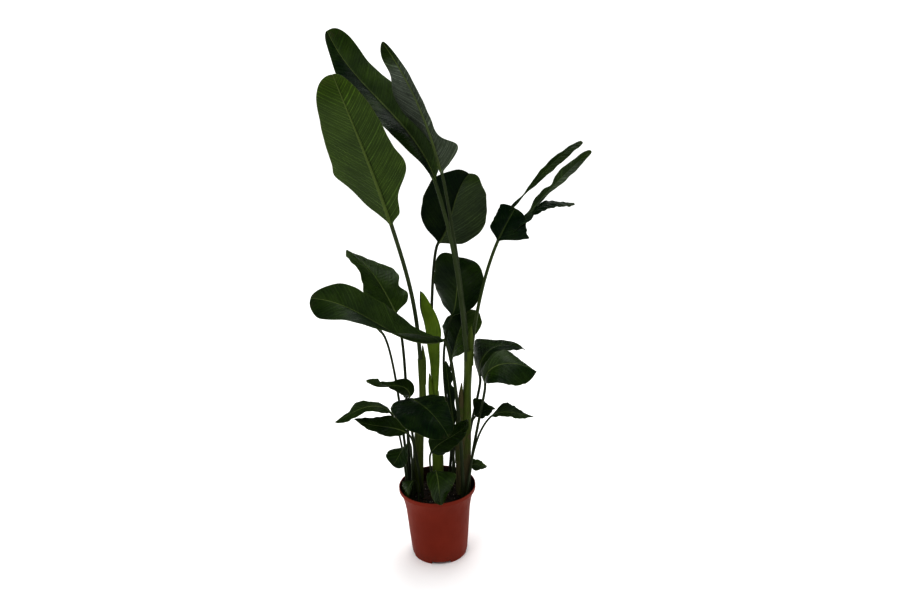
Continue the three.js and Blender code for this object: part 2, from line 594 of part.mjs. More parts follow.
    dents: [[0, 0.61, 0.22, 0.11], [1, 0.33, -0.07, 0.11], [1, 0.59, 0.17, 0.12]],
    root: [-14, -24, 165], rise: [-70, 76], pull: [0.44, 0.12], stalk: [3.8, 3],
  },
  leaf_rim_left: {
    base: [-81, -46, 403], heading: [217, 206], climb: [-15, -54, -35], length: 83, half: [40, 54],
    twist: [34, -39], fold: [1, -20], foldTip: [-2, 16], curl: [-24, -4], wide: [0.41, 0.44],
    point: [0.63, 0.74], full: [2.1, 1.9], wave: [2, 2, 0],
    dents: [[0, 0.34, 0.11, 0.12]],
    root: [-70, -40, 165], rise: [136, 79], pull: [0.48, 0.1], stalk: [3, 2.5],
  },
  leaf_rim_front: {
    base: [0, -93, 329], heading: [279, 294], climb: [12, -78, -59], length: 111, half: [54, 42],
    twist: [5, -42], fold: [5, 11], foldTip: [1, 11], curl: [-16, 19], wide: [0.33, 0.38],
    point: [0.57, 0.67], full: [2.4, 2.5], wave: [2, 2, 0],
    dents: [[0, 0.05, -0.4, 0.13], [0, 0.9, -0.26, 0.13]],
    root: [2, -50, 165], rise: [-93, 82], pull: [0.4, 0.25], stalk: [3.4, 2.8],
  },
  leaf_rim_inner: {
    base: [-71, -45, 273], heading: [219, 216], climb: [-6, -68, -74], length: 61, half: [14, 37],
    twist: [6, 11], fold: [15, 12], foldTip: [-1, -2], curl: [-14, -16], wide: [0.42, 0.41],
    point: [0.6, 0.6], full: [2.3, 2.2], wave: [1, 2, 0],
    dents: [[0, 0.39, -0.08, 0.13], [0, 0.66, -0.12, 0.12], [1, 0.2, -0.17, 0.11], [1, 0.67, -0.17, 0.13]],
    root: [-58, -62, 165], rise: [116, 82], pull: [0.4, 0.25], stalk: [2.8, 2.2],
  },
};

// Shoots: the stem's line, then the sheaths that clasp it, then the leaves it carries

const SHOOTS = {
  stem_right: {
    stem: [
      [76, 8, 162, 19, 17], [78, 8, 207, 19, 17], [80, 10, 264, 20, 18], [83, 12, 320, 20, 18],
      [88, 15, 375, 19, 18], [97, 19, 441, 16.5, 18], [101, 22, 484, 14, 19], [104, 26, 537, 12.5, 21],
      [108, 28, 589, 12, 23], [111, 29, 641, 13, 26], [112, 29, 672, 13, 27],
    ],
    sheaths: [
      [
        [71, 12, 300, 12], [74, 12, 375, 13], [79, 14, 441, 13], [83, 14, 484, 10], [85, 15, 530, 7],
        [88, 16, 566, 1.5],
      ],
      [[90, 8, 190, 14], [94, 8, 320, 15], [98, 9, 375, 13], [104, 12, 430, 8], [109, 15, 462, 1.5]],
      [[114, 30, 620, 12], [117, 29, 680, 11], [120, 28, 715, 8], [123, 27, 745, 1.5]],
    ],
    carries: ['leaf_top_long', 'leaf_top_folded', 'leaf_right_torn'],
  },
  stem_centre: {
    stem: [
      [1, 29, 162, 17], [2, 29, 231, 17.5], [5, 29, 302, 17.6], [4, 30, 372, 17, 19], [4, 34, 440, 15, 22],
      [6, 37, 490, 12, 22], [6, 38, 530, 11, 21],
    ],
    sheaths: [
      [[-6, 20, 380, 10], [-5, 20, 480, 10], [-7, 20, 560, 7], [-9, 20, 600, 1.5]],
    ],
    carries: ['leaf_upper_round'],
  },
  stem_left: {
    stem: [
      [-62, 34, 162, 15], [-60, 32, 233, 16], [-52, 30, 373, 15], [-42, 28, 442, 13], [-34, 20, 509, 11],
      [-32, 12, 560, 10], [-32, 8, 610, 10], [-33, 6, 655, 9],
    ],
    sheaths: [
      [[-67, 27, 170, 10], [-66, 26, 267, 10], [-60, 22, 340, 9], [-54, 20, 400, 7], [-48, 20, 450, 1.5]],
      [[-29, 12, 570, 9], [-26, 12, 640, 9], [-25, 11, 670, 5], [-25, 11, 695, 1.5]],
    ],
    carries: ['leaf_upper_left'],
  },
};

const ROLLED_LEAF = [
  [6, 27, 500, 7], [6, 28, 535, 10, 9], [8, 30, 586, 12.5, 10], [9, 33, 638, 16, 11], [7, 34, 690, 20.5, 13],
  [8, 34, 726, 25.5, 14], [1, 34, 767, 24, 13], [-12, 34, 808, 19, 10], [-20, 34, 843, 9, 6],
  [-25, 34, 858, 1.2],
];
const ROLLED_SEAM = 0.16;

/** A point of a column's line with a clearance all round. */
const grown = ([x, y, z, width, depth = width]) => [x, y, z - GAP, width + GAP, depth + GAP];

// The plant, standing in its pot

const plant = new THREE.Group();

function add(name, body, colour, roughness) {
  const material = new THREE.MeshStandardMaterial({ color: colour, roughness, metalness: 0 });
  const mesh = new THREE.Mesh(geometryOf(body), material);
  mesh.name = name;
  plant.add(mesh);
}

add('pot', potSolid(), 0x8a3524, 0.45);

const rolledLeaf = column(ROLLED_LEAF, { roll: ROLLED_SEAM });
const rolledHole = column(ROLLED_LEAF.slice(0, 6).map(grown));

const shoots = {};
for (const [name, shoot] of Object.entries(SHOOTS)) {
  let body = column(shoot.stem);
  for (const line of shoot.sheaths) body = body.add(column(line, { sides: 8 }));
  for (const leaf of shoot.carries) body = body.subtract(stalkHole(LEAVES[leaf]));
  if (name === 'stem_centre') body = body.subtract(rolledHole);
  shoots[name] = largest(body);
  add(name, shoots[name], 0x5d6b2f, 0.6);
}

let soil = soilSolid();
for (const shoot of Object.values(SHOOTS)) {
  soil = soil.subtract(column(shoot.stem.slice(0, 3).map(grown)));
  for (const line of shoot.sheaths) {
    if (line[0][2] < SOIL_TOP) soil = soil.subtract(column(line.slice(0, 2).map(grown), { sides: 8 }));
  }
}
for (const leaf of Object.values(LEAVES)) {
  if (leaf.root[2] < SOIL_TOP) soil = soil.subtract(stalkHole(leaf));
}
add('soil', largest(soil), 0x2a1d14, 0.95);

add('leaf_new_rolled', rolledLeaf, 0x7d9a2a, 0.5);
for (const [name, leaf] of Object.entries(LEAVES)) add(name, leafSolid(leaf), 0x1f3d18, 0.42);

export default plant;
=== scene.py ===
# %% [markdown]
# # A potted giant white bird of paradise
#
# This lesson dresses a foliage plant in a nursery pot. The frame of the plant, with every leaf in
# its place, is loaded first. Each of its parts is then replaced by a finer one that keeps its form:
# smooth blades with their side veins, grooved stalks, ridged shoots, a plastic pot and lumpy soil.

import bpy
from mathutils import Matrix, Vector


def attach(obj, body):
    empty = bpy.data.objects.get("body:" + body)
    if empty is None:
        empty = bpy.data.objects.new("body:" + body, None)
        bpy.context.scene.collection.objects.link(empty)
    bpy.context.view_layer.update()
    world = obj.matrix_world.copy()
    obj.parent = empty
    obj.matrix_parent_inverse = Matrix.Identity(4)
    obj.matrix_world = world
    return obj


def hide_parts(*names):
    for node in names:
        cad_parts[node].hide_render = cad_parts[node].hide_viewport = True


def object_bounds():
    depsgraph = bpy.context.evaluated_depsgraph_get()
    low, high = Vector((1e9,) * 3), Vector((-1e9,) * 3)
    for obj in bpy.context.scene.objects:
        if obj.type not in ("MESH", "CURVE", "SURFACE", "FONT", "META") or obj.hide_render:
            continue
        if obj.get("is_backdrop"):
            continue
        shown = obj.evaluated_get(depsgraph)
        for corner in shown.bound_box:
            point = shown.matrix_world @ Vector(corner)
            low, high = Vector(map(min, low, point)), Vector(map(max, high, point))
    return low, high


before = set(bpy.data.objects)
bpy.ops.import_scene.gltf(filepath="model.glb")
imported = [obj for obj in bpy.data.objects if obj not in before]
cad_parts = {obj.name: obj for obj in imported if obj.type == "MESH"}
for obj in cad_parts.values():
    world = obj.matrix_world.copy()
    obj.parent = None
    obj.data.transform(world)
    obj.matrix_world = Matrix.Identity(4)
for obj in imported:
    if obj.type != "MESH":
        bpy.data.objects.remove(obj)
cad_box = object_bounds()
print("nodes in the frame:", len(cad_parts))

# %% Bring in what the steps need
import math

import bpy
import numpy as np
from mathutils import Matrix, Vector, noise

MM = 0.001
MAP_SCALE = 10 * MM
print("one model unit is a metre, and lengths below are in millimetres")

# %% [markdown]
# ## The camera
#
# The plant was photographed from about eye height, a little to its right and from 2.3 m away, with
# the camera looking down and held slightly askew. A 33 mm lens on a 36 mm wide frame gives the same
# strong perspective: the top leaves look large and the pot looks small. The camera is made first,
# so that every later step can be judged in the same view.

# %% Set up the camera
CAMERA_PLACE = (62, -2315, 1550)
CAMERA_PITCH = 17.1
CAMERA_ROLL = 2.15

bpy.ops.object.camera_add()
camera = bpy.context.object
camera.data.lens = 33
camera.data.sensor_width = 36
camera.data.clip_start = 0.05
camera.data.clip_end = 200
look = Matrix.Rotation(math.radians(90 - CAMERA_PITCH), 4, "X")
askew = Matrix.Rotation(math.radians(-CAMERA_ROLL), 4, "Z")
camera.matrix_world = Matrix.Translation(Vector(CAMERA_PLACE) * MM) @ look @ askew
bpy.context.scene.camera = camera
print("camera at", [round(value, 3) for value in camera.location])

# %% [markdown]
# ## Helpers for nodes
#
# Every finish, and the sky too, is made of nodes. These short functions add a node, link its inputs
# and give back its output, so that a finish below reads like a recipe.

# %% Make nodes with one call each
def new_finish(name, roughness, specular=0.5):
    """A material with its shader; gives back the material, its node tree and the shader."""
    finish = bpy.data.materials.new(name)
    finish.use_nodes = True
    tree = finish.node_tree
    shader = tree.nodes["Principled BSDF"]
    shader.inputs["Roughness"].default_value = roughness
    shader.inputs["Specular IOR Level"].default_value = specular
    return finish, tree, shader


def node(tree, kind, links=None, **settings):
    """Adds a node; links go to its inputs by name or number, settings are its properties."""
    made = tree.nodes.new(kind)
    for key, value in settings.items():
        setattr(made, key, value)
    for place, source in (links or {}).items():
        if hasattr(source, "is_output"):
            tree.links.new(source, made.inputs[place])
        else:
            made.inputs[place].default_value = source
    return made


def mark_of(tree, name):
    return node(tree, "ShaderNodeAttribute", attribute_name=name).outputs["Fac"]


def sums(tree, operation, first, second=0.0, third=0.0, clamp=False):
    links = {0: first, 1: second, 2: third}
    return node(tree, "ShaderNodeMath", links, operation=operation, use_clamp=clamp).outputs[0]


def blend_colours(tree, share, first, second, how="MIX"):
    links = {"Factor": share, 6: first, 7: second}
    return node(tree, "ShaderNodeMix", links, data_type="RGBA", blend_type=how).outputs[2]


def between(tree, value, low, high, to_low=0.0, to_high=1.0):
    """Carries a value from one range to another, smoothly and without leaving it."""
    links = {"Value": value, "From Min": low, "From Max": high, "To Min": to_low, "To Max": to_high}
    return node(tree, "ShaderNodeMapRange", links, interpolation_type="SMOOTHSTEP").outputs[0]


def spots(tree, place, scale, detail=3.0, roughness=0.55):
    links = {"Vector": place, "Scale": scale, "Detail": detail, "Roughness": roughness}
    return node(tree, "ShaderNodeTexNoise", links).outputs["Fac"]


def object_place(tree):
    return node(tree, "ShaderNodeTexCoord").outputs["Object"]


def map_place(tree):
    return node(tree, "ShaderNodeUVMap", uv_map="leaf_map").outputs["UV"]


def scaled(tree, colour, factor):
    links = {0: colour, "Scale": factor}
    return node(tree, "ShaderNodeVectorMath", links, operation="SCALE").outputs[0]


def stretched(tree, place, scale):
    return node(tree, "ShaderNodeMapping", {"Vector": place, "Scale": scale}).outputs["Vector"]


def relief(tree, height, depth, strength=1.0, under=None):
    """Bump of a depth in metres, laid over an earlier one if there is one."""
    links = {"Height": height, "Distance": depth, "Strength": strength}
    if under is not None:
        links["Normal"] = under
    return node(tree, "ShaderNodeBump", links).outputs["Normal"]


print("helpers ready")

# %% [markdown]
# ## Floor and light
#
# A plain pale floor and a pale sky all round give the soft, nearly shadowless light of a studio.
# The sky is white where the camera sees it. It lights the plant more from above and behind than
# from the camera's side, and what the glossy leaves mirror is darker still, like a studio's walls
# between its lamps. A large lamp behind gives the upper sides their gloss, and one in front on the
# left lights the sides that face the camera. The plain view transform keeps floor and sky white,
# and a gamma below 1 deepens the shades as the photograph's development did.

# %% Lay the floor and hang the lights
SKY_ABOVE = 1.75
SKY_LEVEL = 0.75
CAMERA_SIDE = 0.5
MIRRORED = 0.08
DEVELOP_GAMMA = 0.75

bpy.ops.mesh.primitive_plane_add(size=60, location=(0, 0, 0))
floor = bpy.context.object
floor.name = "floor"
floor_paint, tree, shader = new_finish("pale floor", 0.9)
shader.inputs["Base Color"].default_value = (0.9, 0.9, 0.9, 1)
floor.data.materials.append(floor_paint)
floor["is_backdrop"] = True

sky = bpy.data.worlds.new("studio")
sky.use_nodes = True
sky.cycles.sampling_method = "NONE"
tree = sky.node_tree
way = node(tree, "ShaderNodeSeparateXYZ", {0: node(tree, "ShaderNodeTexCoord").outputs["Generated"]})
ray = node(tree, "ShaderNodeLightPath")
glow = between(tree, way.outputs["Z"], -0.1, 0.9, SKY_LEVEL, SKY_ABOVE)
glow = sums(tree, "MULTIPLY", glow, between(tree, way.outputs["Y"], -0.9, 0.2, CAMERA_SIDE, 1.0))
dimming = between(tree, ray.outputs["Is Glossy Ray"], 0.0, 1.0, 1.0, MIRRORED)
glow = sums(tree, "MULTIPLY", glow, dimming)
glow = sums(tree, "MAXIMUM", glow, sums(tree, "MULTIPLY", ray.outputs["Is Camera Ray"], 1.2))
tree.links.new(glow, tree.nodes["Background"].inputs["Strength"])
tree.nodes["Background"].inputs["Color"].default_value = (1, 1, 1, 1)
bpy.context.scene.world = sky


def hang_light(name, place, target, size, power):
    """Adds a square area light that faces a target."""
    bpy.ops.object.light_add(type="AREA", location=place)
    light = bpy.context.object
    light.name = name
    light.data.size = size
    light.data.energy = power
    light.rotation_euler = (Vector(target) - Vector(place)).to_track_quat("-Z", "Y").to_euler()
    return light


PLANT_MIDDLE = (0, 0, 0.9)
hang_light("front lamp", (-1.6, -2.2, 3.2), PLANT_MIDDLE, size=1.8, power=30)
hang_light("back lamp", (0.6, 1.8, 3.1), PLANT_MIDDLE, size=2.0, power=30)
bpy.context.scene.view_settings.view_transform = "Standard"
bpy.context.scene.view_settings.gamma = DEVELOP_GAMMA
print("sky from", SKY_LEVEL, "to", SKY_ABOVE)

# %% [markdown]
# ## Small helpers
#
# Blender's operators act on whatever is selected, and the frame's nodes are selected after loading.
# So each step starts with nothing selected, and a finished piece is handed over in one place: it
# rides on the frame's only body, and the frame's node that it stands for is hidden.

# %% Select, and hand over a piece
def select_only(piece):
    if bpy.context.mode != "OBJECT":
        bpy.ops.object.mode_set(mode="OBJECT")
    bpy.ops.object.select_all(action="DESELECT")
    piece.select_set(True)
    bpy.context.view_layer.objects.active = piece


def join(pieces, name):
    """Makes one piece of several; the first one keeps its material slots."""
    select_only(pieces[0])
    for piece in pieces[1:]:
        piece.select_set(True)
    if len(pieces) > 1:
        bpy.ops.object.join()
    joined = bpy.context.view_layer.objects.active
    joined.name = name
    return joined


def close_ends():
    """In edit mode: fills every open end, turns all faces outwards and goes back to object mode."""
    bpy.ops.mesh.select_all(action="DESELECT")
    bpy.ops.mesh.select_non_manifold(extend=False)
    bpy.ops.mesh.fill_holes(sides=0)
    bpy.ops.mesh.select_all(action="SELECT")
    bpy.ops.mesh.normals_make_consistent(inside=False)
    bpy.ops.object.mode_set(mode="OBJECT")


def hand_over(piece, slot, *nodes):
    select_only(piece)
    bpy.ops.object.shade_smooth_by_angle(angle=math.radians(60))
    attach(piece, "root")
    if nodes:
        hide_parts(*nodes)
    triangles = sum(len(face.vertices) - 2 for face in piece.data.polygons)
    print(f"{piece.name}: {triangles} triangles")


# %% [markdown]
# ## A skin over rings
#
# Leaves, shoots and the soil are all lofts: a run of closed rings, joined by a skin. By hand, one
# would extrude a ring again and again and shape each copy. Here a flat grid is added as the skin, its
# rows are laid on the rings, its two long edges are merged into a tube, and the ends are filled.
# A mark is a number kept on each point, such as how far it lies from the rib, for the materials.

# %% Lay a grid on rings
def skin_over(name, rings, marks, map_places, slots):
    """rings: (rows, columns, 3) in mm; marks: name to (rows, columns); slots: (rows - 1, columns)."""
    rows, columns = rings.shape[:2]
    bpy.ops.object.select_all(action="DESELECT")
    bpy.ops.mesh.primitive_grid_add(x_subdivisions=columns, y_subdivisions=rows - 1, size=2)
    piece = bpy.context.object
    piece.name = name
    mesh = piece.data
    flat = np.empty(len(mesh.vertices) * 3)
    mesh.vertices.foreach_get("co", flat)
    flat = flat.reshape(-1, 3)
    column = np.rint((flat[:, 0] + 1) / 2 * columns).astype(int)
    row = np.rint((flat[:, 1] + 1) / 2 * (rows - 1)).astype(int)
    around = column % columns
    mesh.vertices.foreach_set("co", (rings[row, around] * MM).ravel())
    for mark, values in marks.items():
        mesh.attributes.new(mark, "FLOAT", "POINT").data.foreach_set("value", values[row, around])

    corners = np.empty(len(mesh.loops), int)
    mesh.loops.foreach_get("vertex_index", corners)
    mesh.uv_layers[0].name = "leaf_map"
    mesh.uv_layers[0].data.foreach_set("uv", map_places[row, around][corners].ravel())

    corners = corners.reshape(-1, 4)
    mesh.polygons.foreach_set("material_index", slots[row[corners].min(1), column[corners].min(1)])
    mesh.update()

    select_only(piece)
    bpy.ops.object.mode_set(mode="EDIT")
    bpy.ops.mesh.select_all(action="SELECT")
    bpy.ops.mesh.remove_doubles(threshold=1e-6)
    close_ends()
    return piece


print("skin_over lays a grid on rings")

# %% [markdown]
# ## Finishes
#
# A leaf's side is dark, waxy green with side veins that run from the rib to the margin, so its
# pattern follows the marks and the map that its skin carries and not the room's axes. Patterns in
# the soil and the pot's plastic have no direction, so they follow the object's own coordinates.

# %% [markdown]
# ### The two sides of a blade
#
# The upper side is dark and glossy; the underside is greyer and more matte, with raised veins. Side
# veins lie about 12 mm apart with many finer ones between them. The mark "vein" counts the side
# veins, so its fraction tells where a point lies between two of them. The mark "rib" is 1 on the
# midrib, "edge" is 1 at the margin, "tip" at the tip. "pale" tells how light each half of a blade
# is painted: partly its own tone, partly painted shade and light for how that half is lit. A second
# mark tells how much grey lies on a half: partly the wax that undersides wear, partly a painted sheen
# where the leaf would mirror bright light. The rib is painted dimmer on halves in painted shade.
# Veins lighten the green under them by a share, so they show on dark and light leaves alike.

# %% Paint the blades
def vein_lines(tree, count, reach):
    """1 on each line, where the count lies halfway between whole numbers, and 0 off it."""
    off = sums(tree, "ABSOLUTE", sums(tree, "SUBTRACT", sums(tree, "FRACT", count), 0.5))
    return between(tree, off, 0.03, reach, 1.0, 0.0)


def blade_finish(name, dark, pale, rib_colour, roughness, specular, vein_share):
    finish, tree, shader = new_finish(name, roughness, specular)
    leaf_place = map_place(tree)
    cloud = spots(tree, object_place(tree), 14.0)
    patches = spots(tree, stretched(tree, leaf_place, (3.0, 1.2, 1.0)), 2.0, 4.0)
    threads = spots(tree, stretched(tree, leaf_place, (60.0, 2.5, 1.0)), 1.0, 2.0, 0.6)

    # The mark "pale" holds a half's own tone together with painted shade and light; random cloud varies it.
    shade = sums(tree, "ADD", mark_of(tree, "pale"), between(tree, cloud, 0.3, 0.7, -0.15, 0.15), clamp=True)
    green = blend_colours(tree, shade, dark, pale)
    # Grey on a half is partly the wax of undersides and partly a painted sheen of reflected light.
    wax_and_sheen = sums(tree, "MULTIPLY", mark_of(tree, "wax_and_sheen"), between(tree, patches, 0.3, 0.6, 0.75, 1.0))
    green = blend_colours(tree, wax_and_sheen, green, WAX_AND_SHEEN)

    count = mark_of(tree, "vein")
    fine_line = vein_lines(tree, sums(tree, "MULTIPLY", count, FINE_VEINS), 0.35)
    line = sums(tree, "MAXIMUM", vein_lines(tree, count, 0.16), sums(tree, "MULTIPLY", fine_line, 0.5))
    line = sums(tree, "MULTIPLY", line, between(tree, patches, 0.3, 0.6, 0.5, 1.0))
    bright = sums(tree, "MULTIPLY_ADD", line, vein_share, 1 - 0.35 * vein_share)
    bright = sums(tree, "MULTIPLY", bright, between(tree, threads, 0.3, 0.7, 0.84, 1.18))
    green = scaled(tree, green, bright)

    edge = mark_of(tree, "edge")
    margin = sums(tree, "MULTIPLY", between(tree, edge, 0.97, 0.995), 0.4)
    green = blend_colours(tree, margin, green, rib_colour)
    tip = sums(tree, "MULTIPLY", mark_of(tree, "tip"), 0.8)
    dry = sums(tree, "MAXIMUM", between(tree, edge, 0.965, 1.0), tip)
    dry = sums(tree, "MULTIPLY", dry, between(tree, patches, 0.45, 0.62))
    green = blend_colours(tree, sums(tree, "MULTIPLY", dry, 0.6), green, DRY_BROWN)
    # The rib's pale colour is dimmed where a half is in painted shade.
    rib = between(tree, mark_of(tree, "rib"), 0.4, 0.85)
    rib = sums(tree, "MULTIPLY", rib, between(tree, shade, 0.0, 0.5, 0.3, 0.85))
    green = blend_colours(tree, rib, green, rib_colour)
    tree.links.new(green, shader.inputs["Base Color"])

    gloss = between(tree, patches, 0.3, 0.7, roughness - 0.05, roughness + 0.08)
    tree.links.new(gloss, shader.inputs["Roughness"])
    fine = relief(tree, threads, 0.0004, 0.5)
    tree.links.new(relief(tree, line, 0.0006, 0.7, fine), shader.inputs["Normal"])
    return finish


FINE_VEINS = 3.0
DRY_BROWN = (0.06, 0.045, 0.018, 1)
# Grey-green of leaf wax, also used as a painted sheen.
WAX_AND_SHEEN = (0.125, 0.145, 0.115, 1)
BLADE_TOP = blade_finish("blade upper side", (0.001, 0.013, 0.001, 1), (0.052, 0.094, 0.008, 1),
                         (0.13, 0.17, 0.05, 1), 0.3, 0.12, 0.6)
BLADE_BACK = blade_finish("blade underside", (0.002, 0.013, 0.001, 1), (0.054, 0.094, 0.008, 1),
                          (0.10, 0.135, 0.035, 1), 0.5, 0.08, 1.0)
print("blades:", BLADE_TOP.name, "and", BLADE_BACK.name)

# %% [markdown]
# ### Stalks and shoots
#
# Stalks are mid green, smooth and slightly waxy, with fine lengthwise fibres. Shoots are made of
# the rolled bases of old leaves: light green, streaked along their length, and brown and papery
# where a sheath has dried. The mark "dry" tells which parts have, and "fresh" which are still as
# yellow-green as the new leaf.

# %% Paint stalks and shoots
def stalk_finish(name, green, light, brown, roughness):
    finish, tree, shader = new_finish(name, roughness, 0.1)
    fibres = spots(tree, stretched(tree, map_place(tree), (1.5, 70.0, 1.0)), 1.0, 3.0, 0.6)
    blotches = spots(tree, object_place(tree), 22.0, 4.0)
    colour = blend_colours(tree, between(tree, fibres, 0.35, 0.68), green, light)
    colour = blend_colours(tree, between(tree, blotches, 0.45, 0.75, 0.0, 0.5), colour, green)
    colour = blend_colours(tree, mark_of(tree, "fresh"), colour, FRESH)
    dry = sums(tree, "ADD", mark_of(tree, "dry"), between(tree, blotches, 0.4, 0.7, -0.3, 0.3))
    brown_shade = blend_colours(tree, between(tree, fibres, 0.3, 0.7), brown, STRAW)
    colour = blend_colours(tree, between(tree, dry, 0.35, 0.75), colour, brown_shade)
    # A stalk is made lighter or darker by its mark "pale": its own tone and painted shade.
    colour = scaled(tree, colour, between(tree, mark_of(tree, "pale"), 0.0, 0.8, 0.6, 1.25))
    tree.links.new(colour, shader.inputs["Base Color"])
    tree.links.new(between(tree, dry, 0.3, 0.8, roughness, 0.8), shader.inputs["Roughness"])
    tree.links.new(relief(tree, fibres, 0.0006, 0.6), shader.inputs["Normal"])
    return finish


STRAW = (0.135, 0.120, 0.050, 1)
FRESH = (0.090, 0.140, 0.008, 1)
STALK = stalk_finish("leaf stalk", (0.030, 0.046, 0.014, 1), (0.060, 0.080, 0.032, 1),
                     (0.05, 0.036, 0.016, 1), 0.42)
SHOOT = stalk_finish("shoot", (0.040, 0.062, 0.008, 1), (0.090, 0.115, 0.024, 1),
                     (0.050, 0.041, 0.022, 1), 0.48)
print("stalks:", STALK.name, "and", SHOOT.name)

# %% [markdown]
# ## How a leaf is shaped
#
# A leaf is grown from a few values. Its midrib starts at the blade's base and turns evenly in
# heading (0 is right, 90 is away from the viewer) and in climb above the floor. The two halves of
# the blade have their own widths, fold up from the rib by an angle and curl towards the margin, and
# the margin waves. The same formulas shape the frame's coarse leaves, so the fine ones lie on them.

# %% Follow the midrib
RIB_PIECES = 80


def direction(heading, climb):
    turn, rise = np.radians(heading), np.radians(climb)
    flat = np.cos(rise)
    return np.stack([flat * np.cos(turn), flat * np.sin(turn), np.sin(rise)], -1)


def rib_angles(leaf, t):
    start, middle, end = leaf["climb"]
    climb = start * (1 - t) * (1 - 2 * t) + 4 * middle * t * (1 - t) + end * t * (2 * t - 1)
    return leaf["heading"][0] * (1 - t) + leaf["heading"][1] * t, climb


def rib_frames(leaf, t):
    """Points, tangents, upper-side normals and right-hand sides along the midrib."""
    middles = (np.arange(RIB_PIECES) + 0.5) / RIB_PIECES
    moves = direction(*rib_angles(leaf, middles)) * leaf["length"] / RIB_PIECES
    places = np.vstack([leaf["base"], np.array(leaf["base"]) + np.cumsum(moves, 0)])
    stops = np.linspace(0, 1, RIB_PIECES + 1)
    points = np.stack([np.interp(t, stops, places[:, axis]) for axis in range(3)], -1)
    heading, climb = rib_angles(leaf, t)
    tangent, up = direction(heading, climb), direction(heading, climb + 90)
    side = np.cross(tangent, up)
    twist = np.radians(leaf["twist"][0] * (1 - t) + leaf["twist"][1] * t)[:, None]
    normal = np.cos(twist) * up + np.sin(twist) * side
    right = np.cos(twist) * side - np.sin(twist) * up
    return points, tangent, normal, right


def half_widths(leaf, t, half):
    """Half widths of the blade in mm: a rounded rise to the widest place, then the tip, with dents."""
    wide, full, point = leaf["wide"][half], leaf["full"][half], leaf["point"][half]
    rise = np.sqrt(np.clip(1 - np.abs(1 - t / wide) ** full, 0, None))
    fall = np.clip(1 - (np.clip(t - wide, 0, None) / (1 - wide)) ** full, 0, None) ** point
    share = np.where(t > wide, fall, rise)
    for side, middle, depth, spread in leaf.get("dents", ()):
        if side == half:
            share = share * (1 - depth * np.exp(-(((t - middle) / spread) ** 2)))
    return share * leaf["half"][half]


print("a leaf's midrib and widths follow its values")

# %% [markdown]
# ## From the rib to the margin
#
# A share s tells how far a point lies from the rib, 0, towards the margin, 1. Folding and curling lay
# it on an arc that starts at the fold's angle. The margin waves and sweeps a little towards the tip.

# %% Lay points on a blade
FORWARD_SWEEP = 0.2
WAVE_OFFSET = 0.37


def lay_on_blade(leaf, t, half, s, widths, flutter=0.0):
    """Places and facing of a blade; t and widths are columns of numbers, s has a row for each."""
    sign = (-1, 1)[half]
    points, tangent, normal, right = (values[:, None] for values in rib_frames(leaf, t[:, 0]))
    start = np.radians(leaf["fold"][half] * (1 - t) + leaf["fold_tip"][half] * t)
    bend = math.radians(leaf["curl"][half])
    angle = start + bend * s
    out = (np.sin(angle) - np.sin(start)) / bend
    lift = (np.cos(start) - np.cos(angle)) / bend
    height, count, shift = leaf["wave"]
    wave = height * s * s * np.sin(2 * np.pi * (count * t + shift + WAVE_OFFSET * half))
    wave = wave * np.minimum(widths / leaf["half"][half], 1) + flutter
    places = (points + right * (sign * widths * out)[..., None]
              + normal * (widths * lift + wave)[..., None]
              + tangent * (widths * FORWARD_SWEEP * s * s)[..., None])
    facing = right * (-sign * np.sin(angle))[..., None] + normal * np.cos(angle)[..., None]
    return places, facing


print("a place on a blade is given by t along it and s across it")

# %% [markdown]
# Across the blade, points sit close together on the rib, where the stalk's groove runs on, and
# further apart out to the margin. Side veins press shallow pleats into the blade; they lean towards
# the tip, as on the real leaf. The sheet is about 1 mm thick at the rib and thinner at the margin.

# %% Shape the blade's rings
RIB_STEPS = (0.0, 0.4, 0.75, 1.0)
BLADE_STEPS = 9
SHARES = [*RIB_STEPS, *[1 + i / BLADE_STEPS for i in range(1, BLADE_STEPS + 1)]]
ACROSS = np.array([-share for share in SHARES[:0:-1]] + SHARES)
RIB_TAPER = 0.8
VEIN_SPACING = 12.0
VEIN_LEAN = 0.75
PLEAT = 0.9
FLUTTER = 1.2
RIB_HALF_THICKNESS = 0.5
MARGIN_THINNER = 0.22
GROOVE_DEPTH = 0.45
KEEL_DEPTH = 1.5
TIP_START = 0.93


